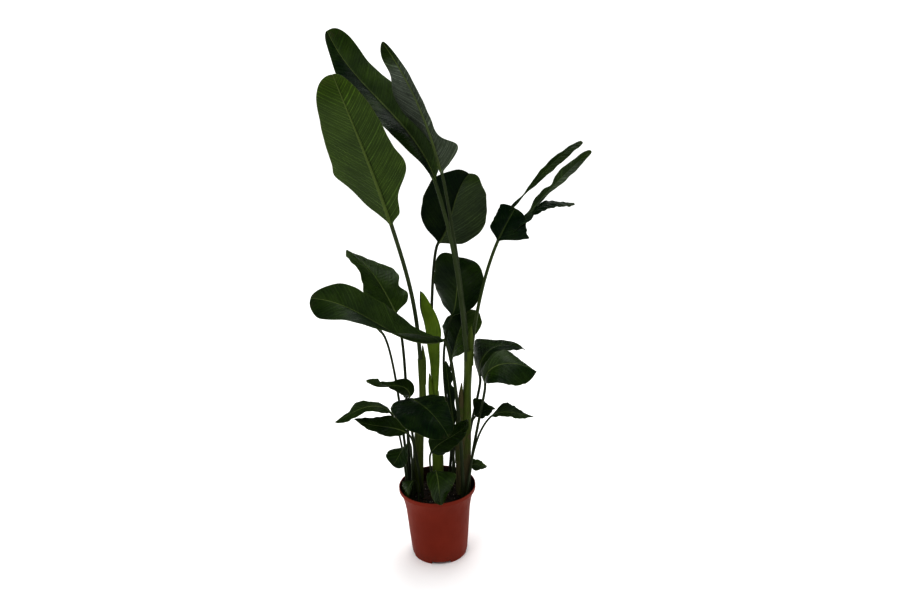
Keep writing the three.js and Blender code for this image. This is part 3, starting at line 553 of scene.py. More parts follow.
def blade_rings(leaf, t, phase):
    """Closed rings over both sides of the blade, with their marks and map places."""
    t = t[:, None]
    rib = leaf["stalk"][1] * (1 - RIB_TAPER * t)
    top = np.empty((len(t), len(ACROSS), 3))
    bottom = np.empty_like(top)
    marks = {name: np.empty(top.shape[:2]) for name in ("vein", "rib", "edge", "tip")}
    for half, chosen in enumerate((ACROSS <= 0, ACROSS >= 0)):
        widths = np.maximum(half_widths(leaf, t, half), rib * 1.6)
        rib_share = rib * 1.1 / widths
        step = np.abs(ACROSS[chosen])[None, :]
        s = np.where(step <= 1, step * rib_share, rib_share + (1 - rib_share) * (step - 1))
        swing = np.minimum(widths / leaf["half"][half], 1)
        flutter = FLUTTER * s ** 3 * swing * (np.sin(31 * t + 5 * phase + half)
                                              + 0.6 * np.sin(53 * t + 9 * phase))
        vein = (t * leaf["length"] - VEIN_LEAN * widths * s) / VEIN_SPACING + 0.5 * half
        vein = vein + 0.22 * np.sin(1.7 * vein + 3 * phase) + 0.15 * np.sin(4.1 * vein + phase)
        fade = np.clip((s - rib_share) * 4, 0, 1) * np.clip((1.02 - s) * 4, 0, 1) * swing
        pleat = PLEAT * fade * -np.cos(2 * np.pi * vein)
        places, facing = lay_on_blade(leaf, t, half, s, widths, flutter)
        groove = rib * GROOVE_DEPTH * np.clip(1 - step, 0, 1)
        keel = rib * KEEL_DEPTH * np.sqrt(1 - np.minimum(step, 1) ** 2)
        half_thick = RIB_HALF_THICKNESS - MARGIN_THINNER * s
        top[:, chosen] = places + facing * (half_thick + pleat - groove)[..., None]
        bottom[:, chosen] = places + facing * (pleat - half_thick - keel)[..., None]
        marks["vein"][:, chosen] = vein
        marks["rib"][:, chosen] = np.clip(1.35 - step, 0, 1)
        marks["edge"][:, chosen] = s
        marks["tip"][:, chosen] = np.clip((t - TIP_START) / (1 - TIP_START), 0, 1)
    rings = np.concatenate([top, bottom[:, ::-1]], 1)
    marks = {name: np.concatenate([values, values[:, ::-1]], 1) for name, values in marks.items()}
    along = marks["vein"] * VEIN_SPACING * MAP_SCALE
    across = marks["edge"] * np.sign(np.concatenate([ACROSS, ACROSS[::-1]]))
    return rings, marks, np.stack([along, across], -1)


print("columns round a blade:", 2 * len(ACROSS))

# %% [markdown]
# ## The stalk
#
# The stalk is a long, gently bent tube with a groove along its upper side. It rises from its root in
# a chosen direction and meets the blade along the midrib. Its frames are carried down from the
# blade without twisting, so the groove runs straight into the rib.

# %% Shape the stalk's rings
STALK_STEP = 12.0
GROOVE_REACH = 0.62
GROOVE_HALF_ANGLE = 34

# The columns pass over the upper side from left to right, then back under it.
turned = 130 * (ACROSS - ACROSS[0]) / (ACROSS[-1] - ACROSS[0])
STALK_ANGLES = np.radians(np.concatenate([155 - turned, 335 - turned]))
off_groove = np.abs(np.angle(np.exp(1j * (STALK_ANGLES - np.pi / 2)))) / np.radians(GROOVE_HALF_ANGLE)
STALK_REACH = 1 - (1 - GROOVE_REACH) * np.clip(1 - off_groove, 0, 1) ** 1.5


def ring_round(point, normal, right, reach):
    """A ring round one point, or round each of several; reach is one number or one for each column."""
    way = (np.cos(STALK_ANGLES)[:, None] * right[..., None, :]
           + np.sin(STALK_ANGLES)[:, None] * normal[..., None, :])
    return point[..., None, :] + np.broadcast_to(reach, STALK_ANGLES.shape)[:, None] * way


def stalk_rings(leaf):
    point, tangent, normal, _ = (values[0] for values in rib_frames(leaf, np.zeros(1)))
    root = np.array(leaf["root"], float)
    reach = np.linalg.norm(point - root)
    above = root + direction(*leaf["rise"]) * reach * leaf["pull"][0]
    below = point - tangent * reach * leaf["pull"][1]
    u = np.linspace(0, 1, 400)[:, None]
    curve = ((1 - u) ** 3 * root + 3 * u * (1 - u) ** 2 * above
             + 3 * u * u * (1 - u) * below + u ** 3 * point)
    run = np.concatenate([[0], np.cumsum(np.linalg.norm(np.diff(curve, axis=0), axis=1))])
    count = max(8, round(run[-1] / STALK_STEP))
    stops = np.linspace(0, run[-1], count + 1)
    line = np.stack([np.interp(stops, run, curve[:, axis]) for axis in range(3)], -1)
    ways = np.gradient(line, axis=0)
    ways /= np.linalg.norm(ways, axis=1)[:, None]
    ways[-1] = tangent
    thick, thin = leaf["stalk"]
    rings = []
    for i in range(count, -1, -1):
        normal = normal - ways[i] * normal.dot(ways[i])
        normal = normal / np.linalg.norm(normal)
        radius = thick + (thin - thick) * min(1, 1.15 * i / count)
        rings.append(ring_round(line[i], normal, np.cross(ways[i], normal), radius * STALK_REACH))
    return np.array(rings[::-1]), stops


print("a stalk has a ring every", STALK_STEP, "mm")

# %% [markdown]
# ## One leaf in one skin
#
# The stalk's last ring melts into the blade's first ones, so stalk and midrib are one form. Torn
# strips are blades of their own: each starts on a thin neck at a place on the blade it was torn
# from. All of them are joined in one piece, which stands for the frame's leaf.

# %% Grow a leaf
RING_STEP = 2.6
MELT_REACH = 4
# The grey of wax and painted sheen fades out towards the tip.
WAX_AND_SHEEN_END = 0.9
WAX_AND_SHEEN_FADE = 0.12


def blade_stations(leaf):
    count = int(max(24, leaf["length"] / RING_STEP))
    even = np.linspace(0, 1, count + 1)[1:-1]
    return np.concatenate([[0.002, 0.006, 0.012], even[even > 0.015], [0.993, 0.997, 0.9995]])


def both_halves(values):
    """A number for each column of a ring, from those of the left and the right half."""
    over = np.interp(ACROSS, (-1, 1), values)
    return np.concatenate([over, over[::-1]])


def grow_blade(name, leaf, phase, root_rings, root_run, stalk_shade, base_tones, tones):
    """A blade on its root rings; its tones change from the base's to its own over its first half."""
    t = blade_stations(leaf)
    rings, marks, places = blade_rings(leaf, t, phase)
    points, _, normal, right = rib_frames(leaf, t)
    rib_radius = leaf["stalk"][1]
    tube = ring_round(points, normal, right, rib_radius * STALK_REACH)
    melt = np.clip(t * leaf["length"] / (rib_radius * MELT_REACH), 0, 1)[:, None, None]
    melt = melt * melt * (3 - 2 * melt)
    whole = np.concatenate([root_rings, tube + (rings - tube) * melt])
    stalk_count, columns = root_rings.shape[:2]

    # Tones hold painted shade and painted sheen besides the leaf's own colour; they pass from the base's to
    # the blade's own.
    own = np.clip(t / 0.5, 0, 1)[:, None]
    marks["pale"], marks["wax_and_sheen"] = [
        both_halves(base_tones[pair]) * (1 - own) + both_halves(tones[pair]) * own
        for pair in (slice(0, 2), slice(2, 4))]
    marks["wax_and_sheen"] *= np.clip((WAX_AND_SHEEN_END - t) / WAX_AND_SHEEN_FADE, 0, 1)[:, None]
    on_stalk = {"rib": 1, "pale": stalk_shade}
    marks = {mark: np.concatenate([np.full((stalk_count, columns), on_stalk.get(mark, 0), float), values])
             for mark, values in marks.items()}
    round_places = np.linspace(0, 0.4, columns)[None].repeat(stalk_count, 0)
    stalk_places = np.stack([np.repeat(root_run[:, None] * MAP_SCALE, columns, 1), round_places], -1)
    slots = np.zeros((len(whole) - 1, columns), int)
    slots[:, columns // 2:-1] = 1
    slots[:stalk_count] = 2
    return skin_over(name, whole, marks, np.concatenate([stalk_places, places]), slots)


def grow_leaf(name, leaf, stalk_shade, *tones):
    phase = sum(map(ord, name)) % 97 / 10
    parts = [grow_blade(name, leaf, phase, *stalk_rings(leaf), stalk_shade, tones[0], tones[0])]
    blades = [leaf]
    for number, strip in enumerate(leaf.get("strips", ()), 1):
        parent, t, half, s = strip["grows"]
        carrier, t = blades[parent], np.array([[t]])
        places, _ = lay_on_blade(carrier, t, half, np.array([[s]]), half_widths(carrier, t, half))
        placed = dict(strip, base=places[0, 0], stalk=(strip["neck"], strip["neck"] / 2))
        point, _, normal, right = rib_frames(placed, np.zeros(1))
        neck = ring_round(point, normal, right, strip["neck"])
        parts.append(grow_blade(f"{name}_strip_{number}", placed, phase + number, neck, np.zeros(1),
                                stalk_shade, tones[0], tones[number]))
        blades.append(placed)
    return join(parts, name.replace("leaf_", "fine_leaf_"))


print("a leaf is one skin, with its torn strips joined on")

# %% [markdown]
# ## The leaves
#
# The values below are lengths in millimetres and angles in degrees. Pairs are for the left and the
# right half of a blade, seen from its upper side with the tip ahead, or for its base and its tip.
# A dent has its half, place, depth and spread; with a depth below 0 it is a bulge. Most of the values
# were fitted to the leaves' outlines in the photograph by a program, and then rounded.

# %% Values of the top leaves
LEAVES = {}
LEAVES["leaf_upper_left"] = dict(
    base=(-93, -61, 1081), heading=(213, 232), climb=(74, 68, 65), length=443, half=(80, 109),
    twist=(31, 40), fold=(16, 21), fold_tip=(9, 8), curl=(-13, -11), wide=(0.37, 0.4),
    point=(0.57, 0.48), full=(1.7, 1.7), wave=(3, 3, 0.1),
    dents=(
        (0, 0.14, 0.28, 0.09), (0, 0.3, -0.24, 0.09), (1, 0.04, 0.35, 0.05), (1, 0.3, -0.24, 0.08),
        (1, 0.73, 0.08, 0.13),
    ),
    root=(-34, 6, 610), rise=(-85, 87), pull=(0.44, 0.35), stalk=(6, 5.5),
)
LEAVES["leaf_top_long"] = dict(
    base=(32, -3, 1190), heading=(156, 139), climb=(73, 41, 61), length=550, half=(74, 89),
    twist=(-1, -36), fold=(27, 20), fold_tip=(17, 18), curl=(-30, -25), wide=(0.4, 0.38),
    point=(0.63, 0.38), full=(2, 2.2), wave=(3, 3, 0.3),
    dents=((0, 0.27, -0.22, 0.14), (0, 0.89, 0.35, 0.16), (1, 0.7, 0.24, 0.22)),
    root=(108, 12, 640), rise=(-151, 86), pull=(0.47, 0.34), stalk=(7.5, 5.5),
)
LEAVES["leaf_top_folded"] = dict(
    base=(53, -10, 1210), heading=(195, 187), climb=(78, 68, 56), length=388, half=(16, 90),
    twist=(27, 86), fold=(25, 32), fold_tip=(13, 9), curl=(-19, 12), wide=(0.4, 0.37),
    point=(0.42, 0.72), full=(2.3, 1.5), wave=(2, 3, 0),
    dents=((0, 0.12, -4.6, 0.1), (1, 0.13, 0.82, 0.17), (1, 0.78, 0.35, 0.12)),
    root=(110, 46, 640), rise=(110, 84), pull=(0.39, 0.1), stalk=(7.5, 4.6),
)
LEAVES["leaf_upper_round"] = dict(
    base=(32, 199, 964), heading=(335, 328), climb=(49, 71, 43), length=251, half=(118, 100),
    twist=(-43, -27), fold=(-5, 12), fold_tip=(18, 16), curl=(-19, 4), wide=(0.35, 0.43),
    point=(0.53, 0.48), full=(2, 2.4), wave=(4, 2, 0.2),
    dents=((0, 0.82, 0.1, 0.12), (1, 0.35, 0.06, 0.11), (1, 0.91, 0.22, 0.12)),
    root=(0, 48, 480), rise=(116, 83), pull=(0.3, 0.08), stalk=(5, 4.2),
)
LEAVES["leaf_right_torn"] = dict(
    base=(211, 81, 991), heading=(26, 15), climb=(61, 57, 55), length=109, half=(48, 72),
    twist=(33, 23), fold=(0, -7), fold_tip=(14, 1), curl=(-6, -15), wide=(0.39, 0.42),
    point=(0.53, 0.65), full=(2.8, 2.3), wave=(2, 2, 0),
    dents=((0, 0.84, -0.4, 0.13), (1, 0.28, -0.2, 0.07), (1, 0.64, 0.14, 0.14)),
    root=(118, 28, 640), rise=(30, 82), pull=(0.4, 0.25), stalk=(5.5, 4.6),
    strips=[dict(
        grows=(0, 0.86, 0, 0.32), heading=(14, 15), climb=(41, 43, 23), length=300, half=(15, 22),
        twist=(16, 28), fold=(12, 11), fold_tip=(1, 5), curl=(-6, -13), wide=(0.38, 0.6),
        point=(0.33, 0.33), full=(2.1, 2.5), wave=(2, 2, 0), neck=1.6,
        dents=((0, 0.21, 0.8, 0.12), (1, 0.21, 0.85, 0.15)),
    ), dict(
        grows=(0, 0.39, 1, 0.45), heading=(8, 15), climb=(50, 43, 36), length=327, half=(30, 18),
        twist=(18, 26), fold=(3, 12), fold_tip=(6, -2), curl=(-20, -11), wide=(0.49, 0.64),
        point=(0.44, 0.41), full=(2.3, 2.4), wave=(2, 2, 0), neck=1.6,
        dents=(
            (0, 0.1, 0.7, 0.06), (0, 0.22, 0.75, 0.08), (0, 0.53, 0.65, 0.06), (1, 0.15, -1.2, 0.09),
            (1, 0.4, 0.4, 0.12),
        ),
    ), dict(
        grows=(2, 0.21, 1, 0.85), heading=(12, 8), climb=(63, 3, -5), length=139, half=(13, 25),
        twist=(15, 8), fold=(12, -3), fold_tip=(2, -3), curl=(-9, -10), wide=(0.43, 0.37),
        point=(0.4, 0.43), full=(2.1, 2.4), wave=(1, 1, 0), neck=1.6,
        dents=((0, 0.41, -0.39, 0.11), (0, 0.68, 0.27, 0.15), (1, 0.04, -0.28, 0.09), (1, 0.79, -0.15, 0.1)),
    )],
)
print("leaves so far:", len(LEAVES))

# %% Values of the leaves in the middle
LEAVES["leaf_mid_left_high"] = dict(
    base=(-103, 58, 782), heading=(128, 152), climb=(50, 46, 25), length=255, half=(80, 94),
    twist=(1, 22), fold=(21, 20), fold_tip=(13, -1), curl=(-18, -15), wide=(0.4, 0.4),
    point=(0.53, 0.61), full=(2.3, 2.3), wave=(5, 2, 0.1),
    dents=((0, 0.24, -0.24, 0.1), (0, 0.76, -0.26, 0.16), (1, 0.28, 0.32, 0.08), (1, 0.62, -0.25, 0.13)),
    root=(-79, 49, 165), rise=(228, 73), pull=(0.18, 0.17), stalk=(5, 4),
)
LEAVES["leaf_mid_left_long"] = dict(
    base=(40, -47, 731), heading=(206, 172), climb=(-7, 36, -1), length=419, half=(66, 77),
    twist=(16, -42), fold=(43, 37), fold_tip=(2, 11), curl=(-13, -6), wide=(0.43, 0.42),
    point=(0.43, 0.63), full=(2.4, 2.3), wave=(3, 3, 0.4),
    dents=((0, 0.88, -0.4, 0.1), (1, 0.32, -0.26, 0.1), (1, 0.78, -0.13, 0.11)),
    root=(80, -29, 165), rise=(0, 89), pull=(0.6, 0.03), stalk=(6, 4.6),
)
LEAVES["leaf_mid_left_small"] = dict(
    base=(-141, 8, 737), heading=(184, 176), climb=(60, 20, 2), length=236, half=(34, 36),
    twist=(0, 10), fold=(12, 12), fold_tip=(5, 5), curl=(-12, -12), wide=(0.4, 0.4),
    point=(0.45, 0.45), full=(2, 2), wave=(2, 2, 0),
    root=(-88, 22, 165), rise=(160, 88), pull=(0.72, 0.06), stalk=(5, 3.5),
)
LEAVES["leaf_mid_right_back"] = dict(
    base=(66, 107, 752), heading=(40, 81), climb=(55, 78, 39), length=188, half=(86, 86),
    twist=(-4, 15), fold=(1, 11), fold_tip=(16, 8), curl=(-11, -24), wide=(0.44, 0.37),
    point=(0.3, 0.46), full=(2.5, 2), wave=(4, 2, 0.3),
    dents=((0, 0.38, 0.09, 0.11), (0, 0.64, 0.12, 0.15), (1, 0.26, -0.06, 0.1)),
    root=(55, 66, 165), rise=(77, 82), pull=(0.39, 0.26), stalk=(5, 3.6),
)
LEAVES["leaf_centre_back"] = dict(
    base=(61, 114, 611), heading=(28, 60), climb=(74, 60, 37), length=166, half=(69, 83),
    twist=(-10, 11), fold=(12, 11), fold_tip=(11, 18), curl=(-14, -15), wide=(0.44, 0.39),
    point=(0.7, 0.47), full=(1.6, 2.1), wave=(4, 2, 0),
    dents=((0, 0.38, -0.15, 0.1), (1, 0.84, 0.08, 0.13)),
    root=(28, 84, 165), rise=(0, 77), pull=(0.42, 0.25), stalk=(5, 3.4),
)
LEAVES["leaf_centre_low"] = dict(
    base=(60, -5, 440), heading=(180, 180), climb=(86, 85, 85), length=210, half=(20, 15),
    twist=(60, 60), fold=(15, 15), fold_tip=(10, 10), curl=(-12, -12), wide=(0.5, 0.6),
    point=(0.7, 0.7), full=(2, 2), wave=(2, 2, 0),
    dents=((0, 0.3, 0.45, 0.12), (0, 0.63, 0.6, 0.06)),
    root=(44, 14, 165), rise=(-60, 87), pull=(0.4, 0.2), stalk=(3.8, 3),
)
print("leaves so far:", len(LEAVES))

# %% Values of the low leaves on the right
LEAVES["leaf_right_high"] = dict(
    base=(147, 88, 555), heading=(46, 30), climb=(111, 5, -22), length=242, half=(114, 62),
    twist=(-20, 11), fold=(-11, 0), fold_tip=(10, 21), curl=(-16, -22), wide=(0.4, 0.45),
    point=(0.56, 0.58), full=(1.5, 2.5), wave=(4, 2, 0.2),
    dents=((0, 0.56, -0.38, 0.1), (1, 0.82, 0.08, 0.13)),
    root=(82, 44, 165), rise=(80, 80), pull=(0.49, 0.1), stalk=(4.6, 4),
)
LEAVES["leaf_right_broad"] = dict(
    base=(159, 7, 565), heading=(-15, 15), climb=(97, 4, -35), length=206, half=(70, 88),
    twist=(20, 12), fold=(28, 12), fold_tip=(-9, -13), curl=(-27, -22), wide=(0.37, 0.43),
    point=(1.02, 1.01), full=(2.3, 2.3), wave=(2, 2, 0.5),
    dents=((0, 0.2, 0.3, 0.14), (0, 0.7, 0.14, 0.08)),
    root=(93, -13, 165), rise=(20, 87), pull=(0.45, 0.08), stalk=(4.6, 4),
)
LEAVES["leaf_right_low"] = dict(
    base=(174, -20, 469), heading=(-31, 15), climb=(47, -6, -18), length=140, half=(53, 29),
    twist=(-6, 7), fold=(18, 4), fold_tip=(-9, 4), curl=(-8, -16), wide=(0.29, 0.36),
    point=(1.07, 0.97), full=(1.6, 2.5), wave=(2, 2, 0.1),
    dents=((0, 0.15, -0.35, 0.1), (0, 0.59, 0.15, 0.12), (1, 0.39, -0.09, 0.11), (1, 0.91, 0.29, 0.14)),
    root=(85, -40, 165), rise=(0, 83), pull=(0.44, 0.29), stalk=(3.6, 3),
)
LEAVES["leaf_right_small"] = dict(
    base=(127, 37, 443), heading=(0, 6), climb=(52, 16, -2), length=70, half=(55, 37),
    twist=(19, -15), fold=(22, 1), fold_tip=(11, 17), curl=(1, -4), wide=(0.38, 0.39),
    point=(0.89, 0.97), full=(1.9, 2.1), wave=(2, 2, 0),
    dents=((0, 0.17, -0.18, 0.09), (0, 0.68, 0.44, 0.22), (1, 0.46, -0.24, 0.14), (1, 0.58, -0.26, 0.14)),
    root=(90, 24, 165), rise=(40, 84), pull=(0.4, 0.25), stalk=(3.4, 2.6),
)
LEAVES["leaf_rim_right"] = dict(
    base=(102, 40, 270), heading=(2, 6), climb=(42, -14, -8), length=62, half=(19, 51),
    twist=(29, -9), fold=(25, 12), fold_tip=(-4, 7), curl=(6, 17), wide=(0.4, 0.35),
    point=(0.91, 1.02), full=(2.5, 1.7), wave=(1, 2, 0),
    dents=((0, 0.34, 0.07, 0.13), (1, 0.35, 0.18, 0.14), (1, 0.59, 0.13, 0.13)),
    root=(85, 34, 165), rise=(0, 88), pull=(0.6, 0.1), stalk=(3, 2.4),
)
print("leaves so far:", len(LEAVES))

# %% Values of the low leaves on the left and in front
LEAVES["leaf_left_curled"] = dict(
    base=(-74, 4, 529), heading=(201, 196), climb=(110, 6, 70), length=167, half=(58, 31),
    twist=(-49, 40), fold=(-1, 34), fold_tip=(24, 0), curl=(2, 10), wide=(0.38, 0.3),
    point=(0.66, 0.58), full=(2.1, 2.8), wave=(3, 2, 0.2),
    dents=((0, 0.29, 0.27, 0.13), (0, 0.78, -0.26, 0.13), (1, 0.43, 0.48, 0.15), (1, 0.7, -0.21, 0.12)),
    root=(-76, 8, 165), rise=(41, 82), pull=(0.4, 0.25), stalk=(3.6, 3),
)
LEAVES["leaf_left_arched"] = dict(
    base=(-132, 2, 482), heading=(185, 189), climb=(58, -15, -20), length=189, half=(39, 34),
    twist=(-4, -3), fold=(-4, 9), fold_tip=(4, 8), curl=(-14, -21), wide=(0.44, 0.41),
    point=(0.83, 1.06), full=(2.5, 1.6), wave=(2, 2, 0),
    dents=((0, 0.39, 0.44, 0.16), (1, 0.56, -0.85, 0.12)),
    root=(-93, 4, 165), rise=(-154, 88), pull=(0.37, 0.17), stalk=(3.6, 3),
)
LEAVES["leaf_left_low"] = dict(
    base=(-84, -34, 430), heading=(183, 185), climb=(37, 12, 38), length=167, half=(33, 40),
    twist=(-44, 1), fold=(5, 10), fold_tip=(4, 3), curl=(-3, -11), wide=(0.4, 0.36),
    point=(0.83, 0.64), full=(1.5, 2.1), wave=(3, 2, 0.3),
    dents=((0, 0.39, -0.12, 0.12), (1, 0.72, 0.07, 0.11)),
    root=(-86, -20, 165), rise=(93, 84), pull=(0.39, 0.2), stalk=(3.4, 2.8),
)
LEAVES["leaf_front_broad"] = dict(
    base=(-62, -57, 552), heading=(291, 312), climb=(14, -8, -51), length=223, half=(60, 106),
    twist=(-4, 10), fold=(15, 13), fold_tip=(13, 5), curl=(-12, -13), wide=(0.36, 0.41),
    point=(0.65, 0.66), full=(1.9, 1.9), wave=(4, 2, 0.1),
    dents=((0, 0.25, -0.29, 0.14), (0, 0.7, 0.08, 0.12), (1, 0.75, 0.07, 0.11)),
    root=(-44, -10, 165), rise=(-110, 82), pull=(0.4, 0.25), stalk=(4.6, 3.6),
)
LEAVES["leaf_front_low"] = dict(
    base=(-13, -64, 376), heading=(-4, -14), climb=(59, 33, 63), length=161, half=(50, 46),
    twist=(28, 8), fold=(22, 7), fold_tip=(6, -6), curl=(-4, -22), wide=(0.37, 0.39),
    point=(0.62, 0.57), full=(2.5, 2.3), wave=(3, 2, 0.2),
    dents=((0, 0.61, 0.22, 0.11), (1, 0.33, -0.07, 0.11), (1, 0.59, 0.17, 0.12)),
    root=(-14, -24, 165), rise=(-70, 76), pull=(0.44, 0.12), stalk=(3.8, 3),
)
LEAVES["leaf_rim_left"] = dict(
    base=(-81, -46, 403), heading=(217, 206), climb=(-15, -54, -35), length=83, half=(40, 54),
    twist=(34, -39), fold=(1, -20), fold_tip=(-2, 16), curl=(-24, -4), wide=(0.41, 0.44),
    point=(0.63, 0.74), full=(2.1, 1.9), wave=(2, 2, 0),
    dents=((0, 0.34, 0.11, 0.12),),
    root=(-70, -40, 165), rise=(136, 79), pull=(0.48, 0.1), stalk=(3, 2.5),
)
LEAVES["leaf_rim_front"] = dict(
    base=(0, -93, 329), heading=(279, 294), climb=(12, -78, -59), length=111, half=(54, 42),
    twist=(5, -42), fold=(5, 11), fold_tip=(1, 11), curl=(-16, 19), wide=(0.33, 0.38),
    point=(0.57, 0.67), full=(2.4, 2.5), wave=(2, 2, 0),
    dents=((0, 0.05, -0.4, 0.13), (0, 0.9, -0.26, 0.13)),
    root=(2, -50, 165), rise=(-93, 82), pull=(0.4, 0.25), stalk=(3.4, 2.8),
)
LEAVES["leaf_rim_inner"] = dict(
    base=(-71, -45, 273), heading=(219, 216), climb=(-6, -68, -74), length=61, half=(14, 37),
    twist=(6, 11), fold=(15, 12), fold_tip=(-1, -2), curl=(-14, -16), wide=(0.42, 0.41),
    point=(0.6, 0.6), full=(2.3, 2.2), wave=(1, 2, 0),
    dents=((0, 0.39, -0.08, 0.13), (0, 0.66, -0.12, 0.12), (1, 0.2, -0.17, 0.11), (1, 0.67, -0.17, 0.13)),
    root=(-58, -62, 165), rise=(116, 82), pull=(0.4, 0.25), stalk=(2.8, 2.2),
)
print("leaves in all:", len(LEAVES))

# %% [markdown]
# The leaves differ in age, in the side that they show and in the light that reaches them, so each
# gets tones of its own, with painted shade and light in them. First comes the shade of its stalk.
# Then, for each blade, come the shades of its left and right half and how much grey lies on each,
# partly wax and partly a painted sheen: 0 is dark or bare, 1 is light or quite grey. The old leaves
# low down are dark, partly painted shade; the high ones are painted lighter as they stand in more
# light; and the top ones turn their waxy undersides to us.

# %% Grow the leaves
TONES_AND_SHADES = {
    "leaf_upper_left": (0.45, (0.82, 0.82, 0.1, 0.14)),
    "leaf_top_long": (0.5, (0.12, 0.48, 0, 0.07)),
    "leaf_top_folded": (0.4, (0.3, 0.3, 0.65, 0.95)),
    "leaf_upper_round": (0.1, (0.42, 0, 0.22, 0)),
    "leaf_right_torn": (0, (0, 0, 0, 0), (0.25, 0.3, 0, 0.05), (0.35, 0.35, 0.1, 0.4),
                        (0.1, 0.15, 0, 0)),
    "leaf_mid_left_high": (0.2, (0.42, 0.45, 0, 0)),
    "leaf_mid_left_long": (0.2, (0.24, 0.42, 0.06, 0.06)),
    "leaf_mid_left_small": (0.2, (0.3, 0.3, 0, 0)),
    "leaf_mid_right_back": (0.2, (0.2, 0.2, 0.08, 0)),
    "leaf_centre_back": (0.2, (0.1, 0.6, 0, 0)),
    "leaf_centre_low": (0.1, (0.05, 0.08, 0, 0)),
    "leaf_right_high": (0.2, (0.22, 0.2, 0, 0)),
    "leaf_right_broad": (0.2, (0.32, 0.22, 0.15, 0)),
    "leaf_right_low": (0.2, (0.25, 0.25, 0.05, 0)),
    "leaf_rim_right": (0.2, (0.5, 0.45, 0, 0)),
    "leaf_left_curled": (0.2, (0.3, 0.35, 0, 0)),
    "leaf_left_arched": (0.2, (0.3, 0.3, 0, 0.05)),
    "leaf_left_low": (0.2, (0.2, 0.22, 0, 0)),
    "leaf_front_broad": (0.2, (0.1, 0.08, 0.02, 0)),
    "leaf_front_low": (0.2, (0.2, 0.24, 0, 0)),
    "leaf_rim_front": (0.2, (0.3, 0.3, 0, 0)),
}
USUAL_TONES = (0.2, (0.2, 0.2, 0, 0))

for name, values in LEAVES.items():
    leaf = grow_leaf(name, values, *TONES_AND_SHADES.get(name, USUAL_TONES))
    for finish in (BLADE_TOP, BLADE_BACK, STALK):
        leaf.data.materials.append(finish)
    hand_over(leaf, "leaf", name)

# %% [markdown]
# ## The pot
#
# The pot is one thin plastic moulding: a raised boss and a foot ring with four notches, a wall that
# leans out and flares below the rim, and a stiff rim band. By hand it is made as a potter would: a
# circle is extruded ring by ring up the outside and down the inside, each ring resized to its
# radius. The notches and drain holes are then cut, and the edges are bevelled.

# %% Turn the pot
POT_SIDES = 96
RIM_RADIUS = 120
POT_HEIGHT = 234
RIM_BAND = 12
WALL = 2.4
FLOOR_TOP = 11
WALL_LINE = [(86, 0), (88.5, 12), (94.5, 80), (100.5, 155), (104.5, 180), (109.5, 202), (118, 222)]
POT_LINE = [
    (26, 0), (29, 8), (79.2, 8), (81.2, 0), *WALL_LINE,
    (118.3, POT_HEIGHT - RIM_BAND - 0.4), (RIM_RADIUS, POT_HEIGHT - RIM_BAND + 0.4),
    (RIM_RADIUS, POT_HEIGHT - 0.8), (RIM_RADIUS - 0.8, POT_HEIGHT), (RIM_RADIUS - 1.8, POT_HEIGHT),
    (RIM_RADIUS - WALL - 0.2, POT_HEIGHT - 0.8),
    *[(radius - WALL, height) for radius, height in WALL_LINE[:1:-1]],
    (88.5 - WALL - 2, FLOOR_TOP + 2), (88.5 - WALL - 5, FLOOR_TOP), (26, FLOOR_TOP), (23, WALL + 1),
]


def turn_profile(name, line, sides):
    """Extrudes a circle from ring to ring of a profile of (radius, height) in mm."""
    radius, height = line[0]
    bpy.ops.object.select_all(action="DESELECT")
    bpy.ops.mesh.primitive_circle_add(vertices=sides, radius=radius * MM, fill_type="NGON",
                                      location=(0, 0, height * MM))
    piece = bpy.context.object
    piece.name = name
    bpy.ops.object.transform_apply(location=True)
    bpy.ops.object.mode_set(mode="EDIT")
    bpy.ops.mesh.select_mode(type="EDGE")
    bpy.ops.mesh.select_all(action="SELECT")
    for next_radius, next_height in line[1:]:
        rise = (0, 0, (next_height - height) * MM)
        bpy.ops.mesh.extrude_edges_move(TRANSFORM_OT_translate={"value": rise})
        bpy.ops.transform.resize(value=(next_radius / radius, next_radius / radius, 1))
        radius, height = next_radius, next_height
    bpy.ops.mesh.edge_face_add()
    bpy.ops.mesh.select_all(action="SELECT")
    bpy.ops.mesh.normals_make_consistent(inside=False)
    bpy.ops.object.mode_set(mode="OBJECT")
    return piece


pot = turn_profile("nursery_pot", POT_LINE, POT_SIDES)
print("pot rings:", len(POT_LINE))

# %% Cut the foot's notches and the drain holes
NOTCHES = 4
NOTCH_WIDTH = 42
DRAIN_HOLES = 8
DRAIN_SIDES = 24

# In metres, as Blender's operators take them.
NOTCH_PLACE = (0.085, 0, 0.0035)
NOTCH_SIZE = (0.022, 0.009, 1, 1)
DRAIN_RADIUS = 0.006
DRAIN_CIRCLE = 0.056


def add_notch_cutter(middle):
    """An upright plane across the foot, swept round the pot's axis."""
    start = math.radians(middle - NOTCH_WIDTH / 2)
    bpy.ops.mesh.primitive_plane_add(size=1)
    cutter = bpy.context.object
    place = Matrix.Rotation(start, 4, "Z") @ Matrix.Translation(NOTCH_PLACE)
    upright = place @ Matrix.Rotation(math.pi / 2, 4, "X")
    cutter.data.transform(upright @ Matrix.Diagonal(NOTCH_SIZE))
    bpy.ops.object.mode_set(mode="EDIT")
    bpy.ops.mesh.select_all(action="SELECT")
    bpy.ops.mesh.spin(steps=10, angle=math.radians(NOTCH_WIDTH), center=(0, 0, 0), axis=(0, 0, 1))
    close_ends()
    return cutter


cutters = [add_notch_cutter(45 + 90 * number) for number in range(NOTCHES)]
for number in range(DRAIN_HOLES):
    angle = 2 * math.pi * number / DRAIN_HOLES
    middle = (DRAIN_CIRCLE * math.cos(angle), DRAIN_CIRCLE * math.sin(angle), 0.011)
    bpy.ops.mesh.primitive_cylinder_add(vertices=DRAIN_SIDES, radius=DRAIN_RADIUS, depth=0.02,
                                        location=middle)
    cutters.append(bpy.context.object)
    bpy.ops.object.transform_apply(location=True)
cutter = join(cutters, "cutter")

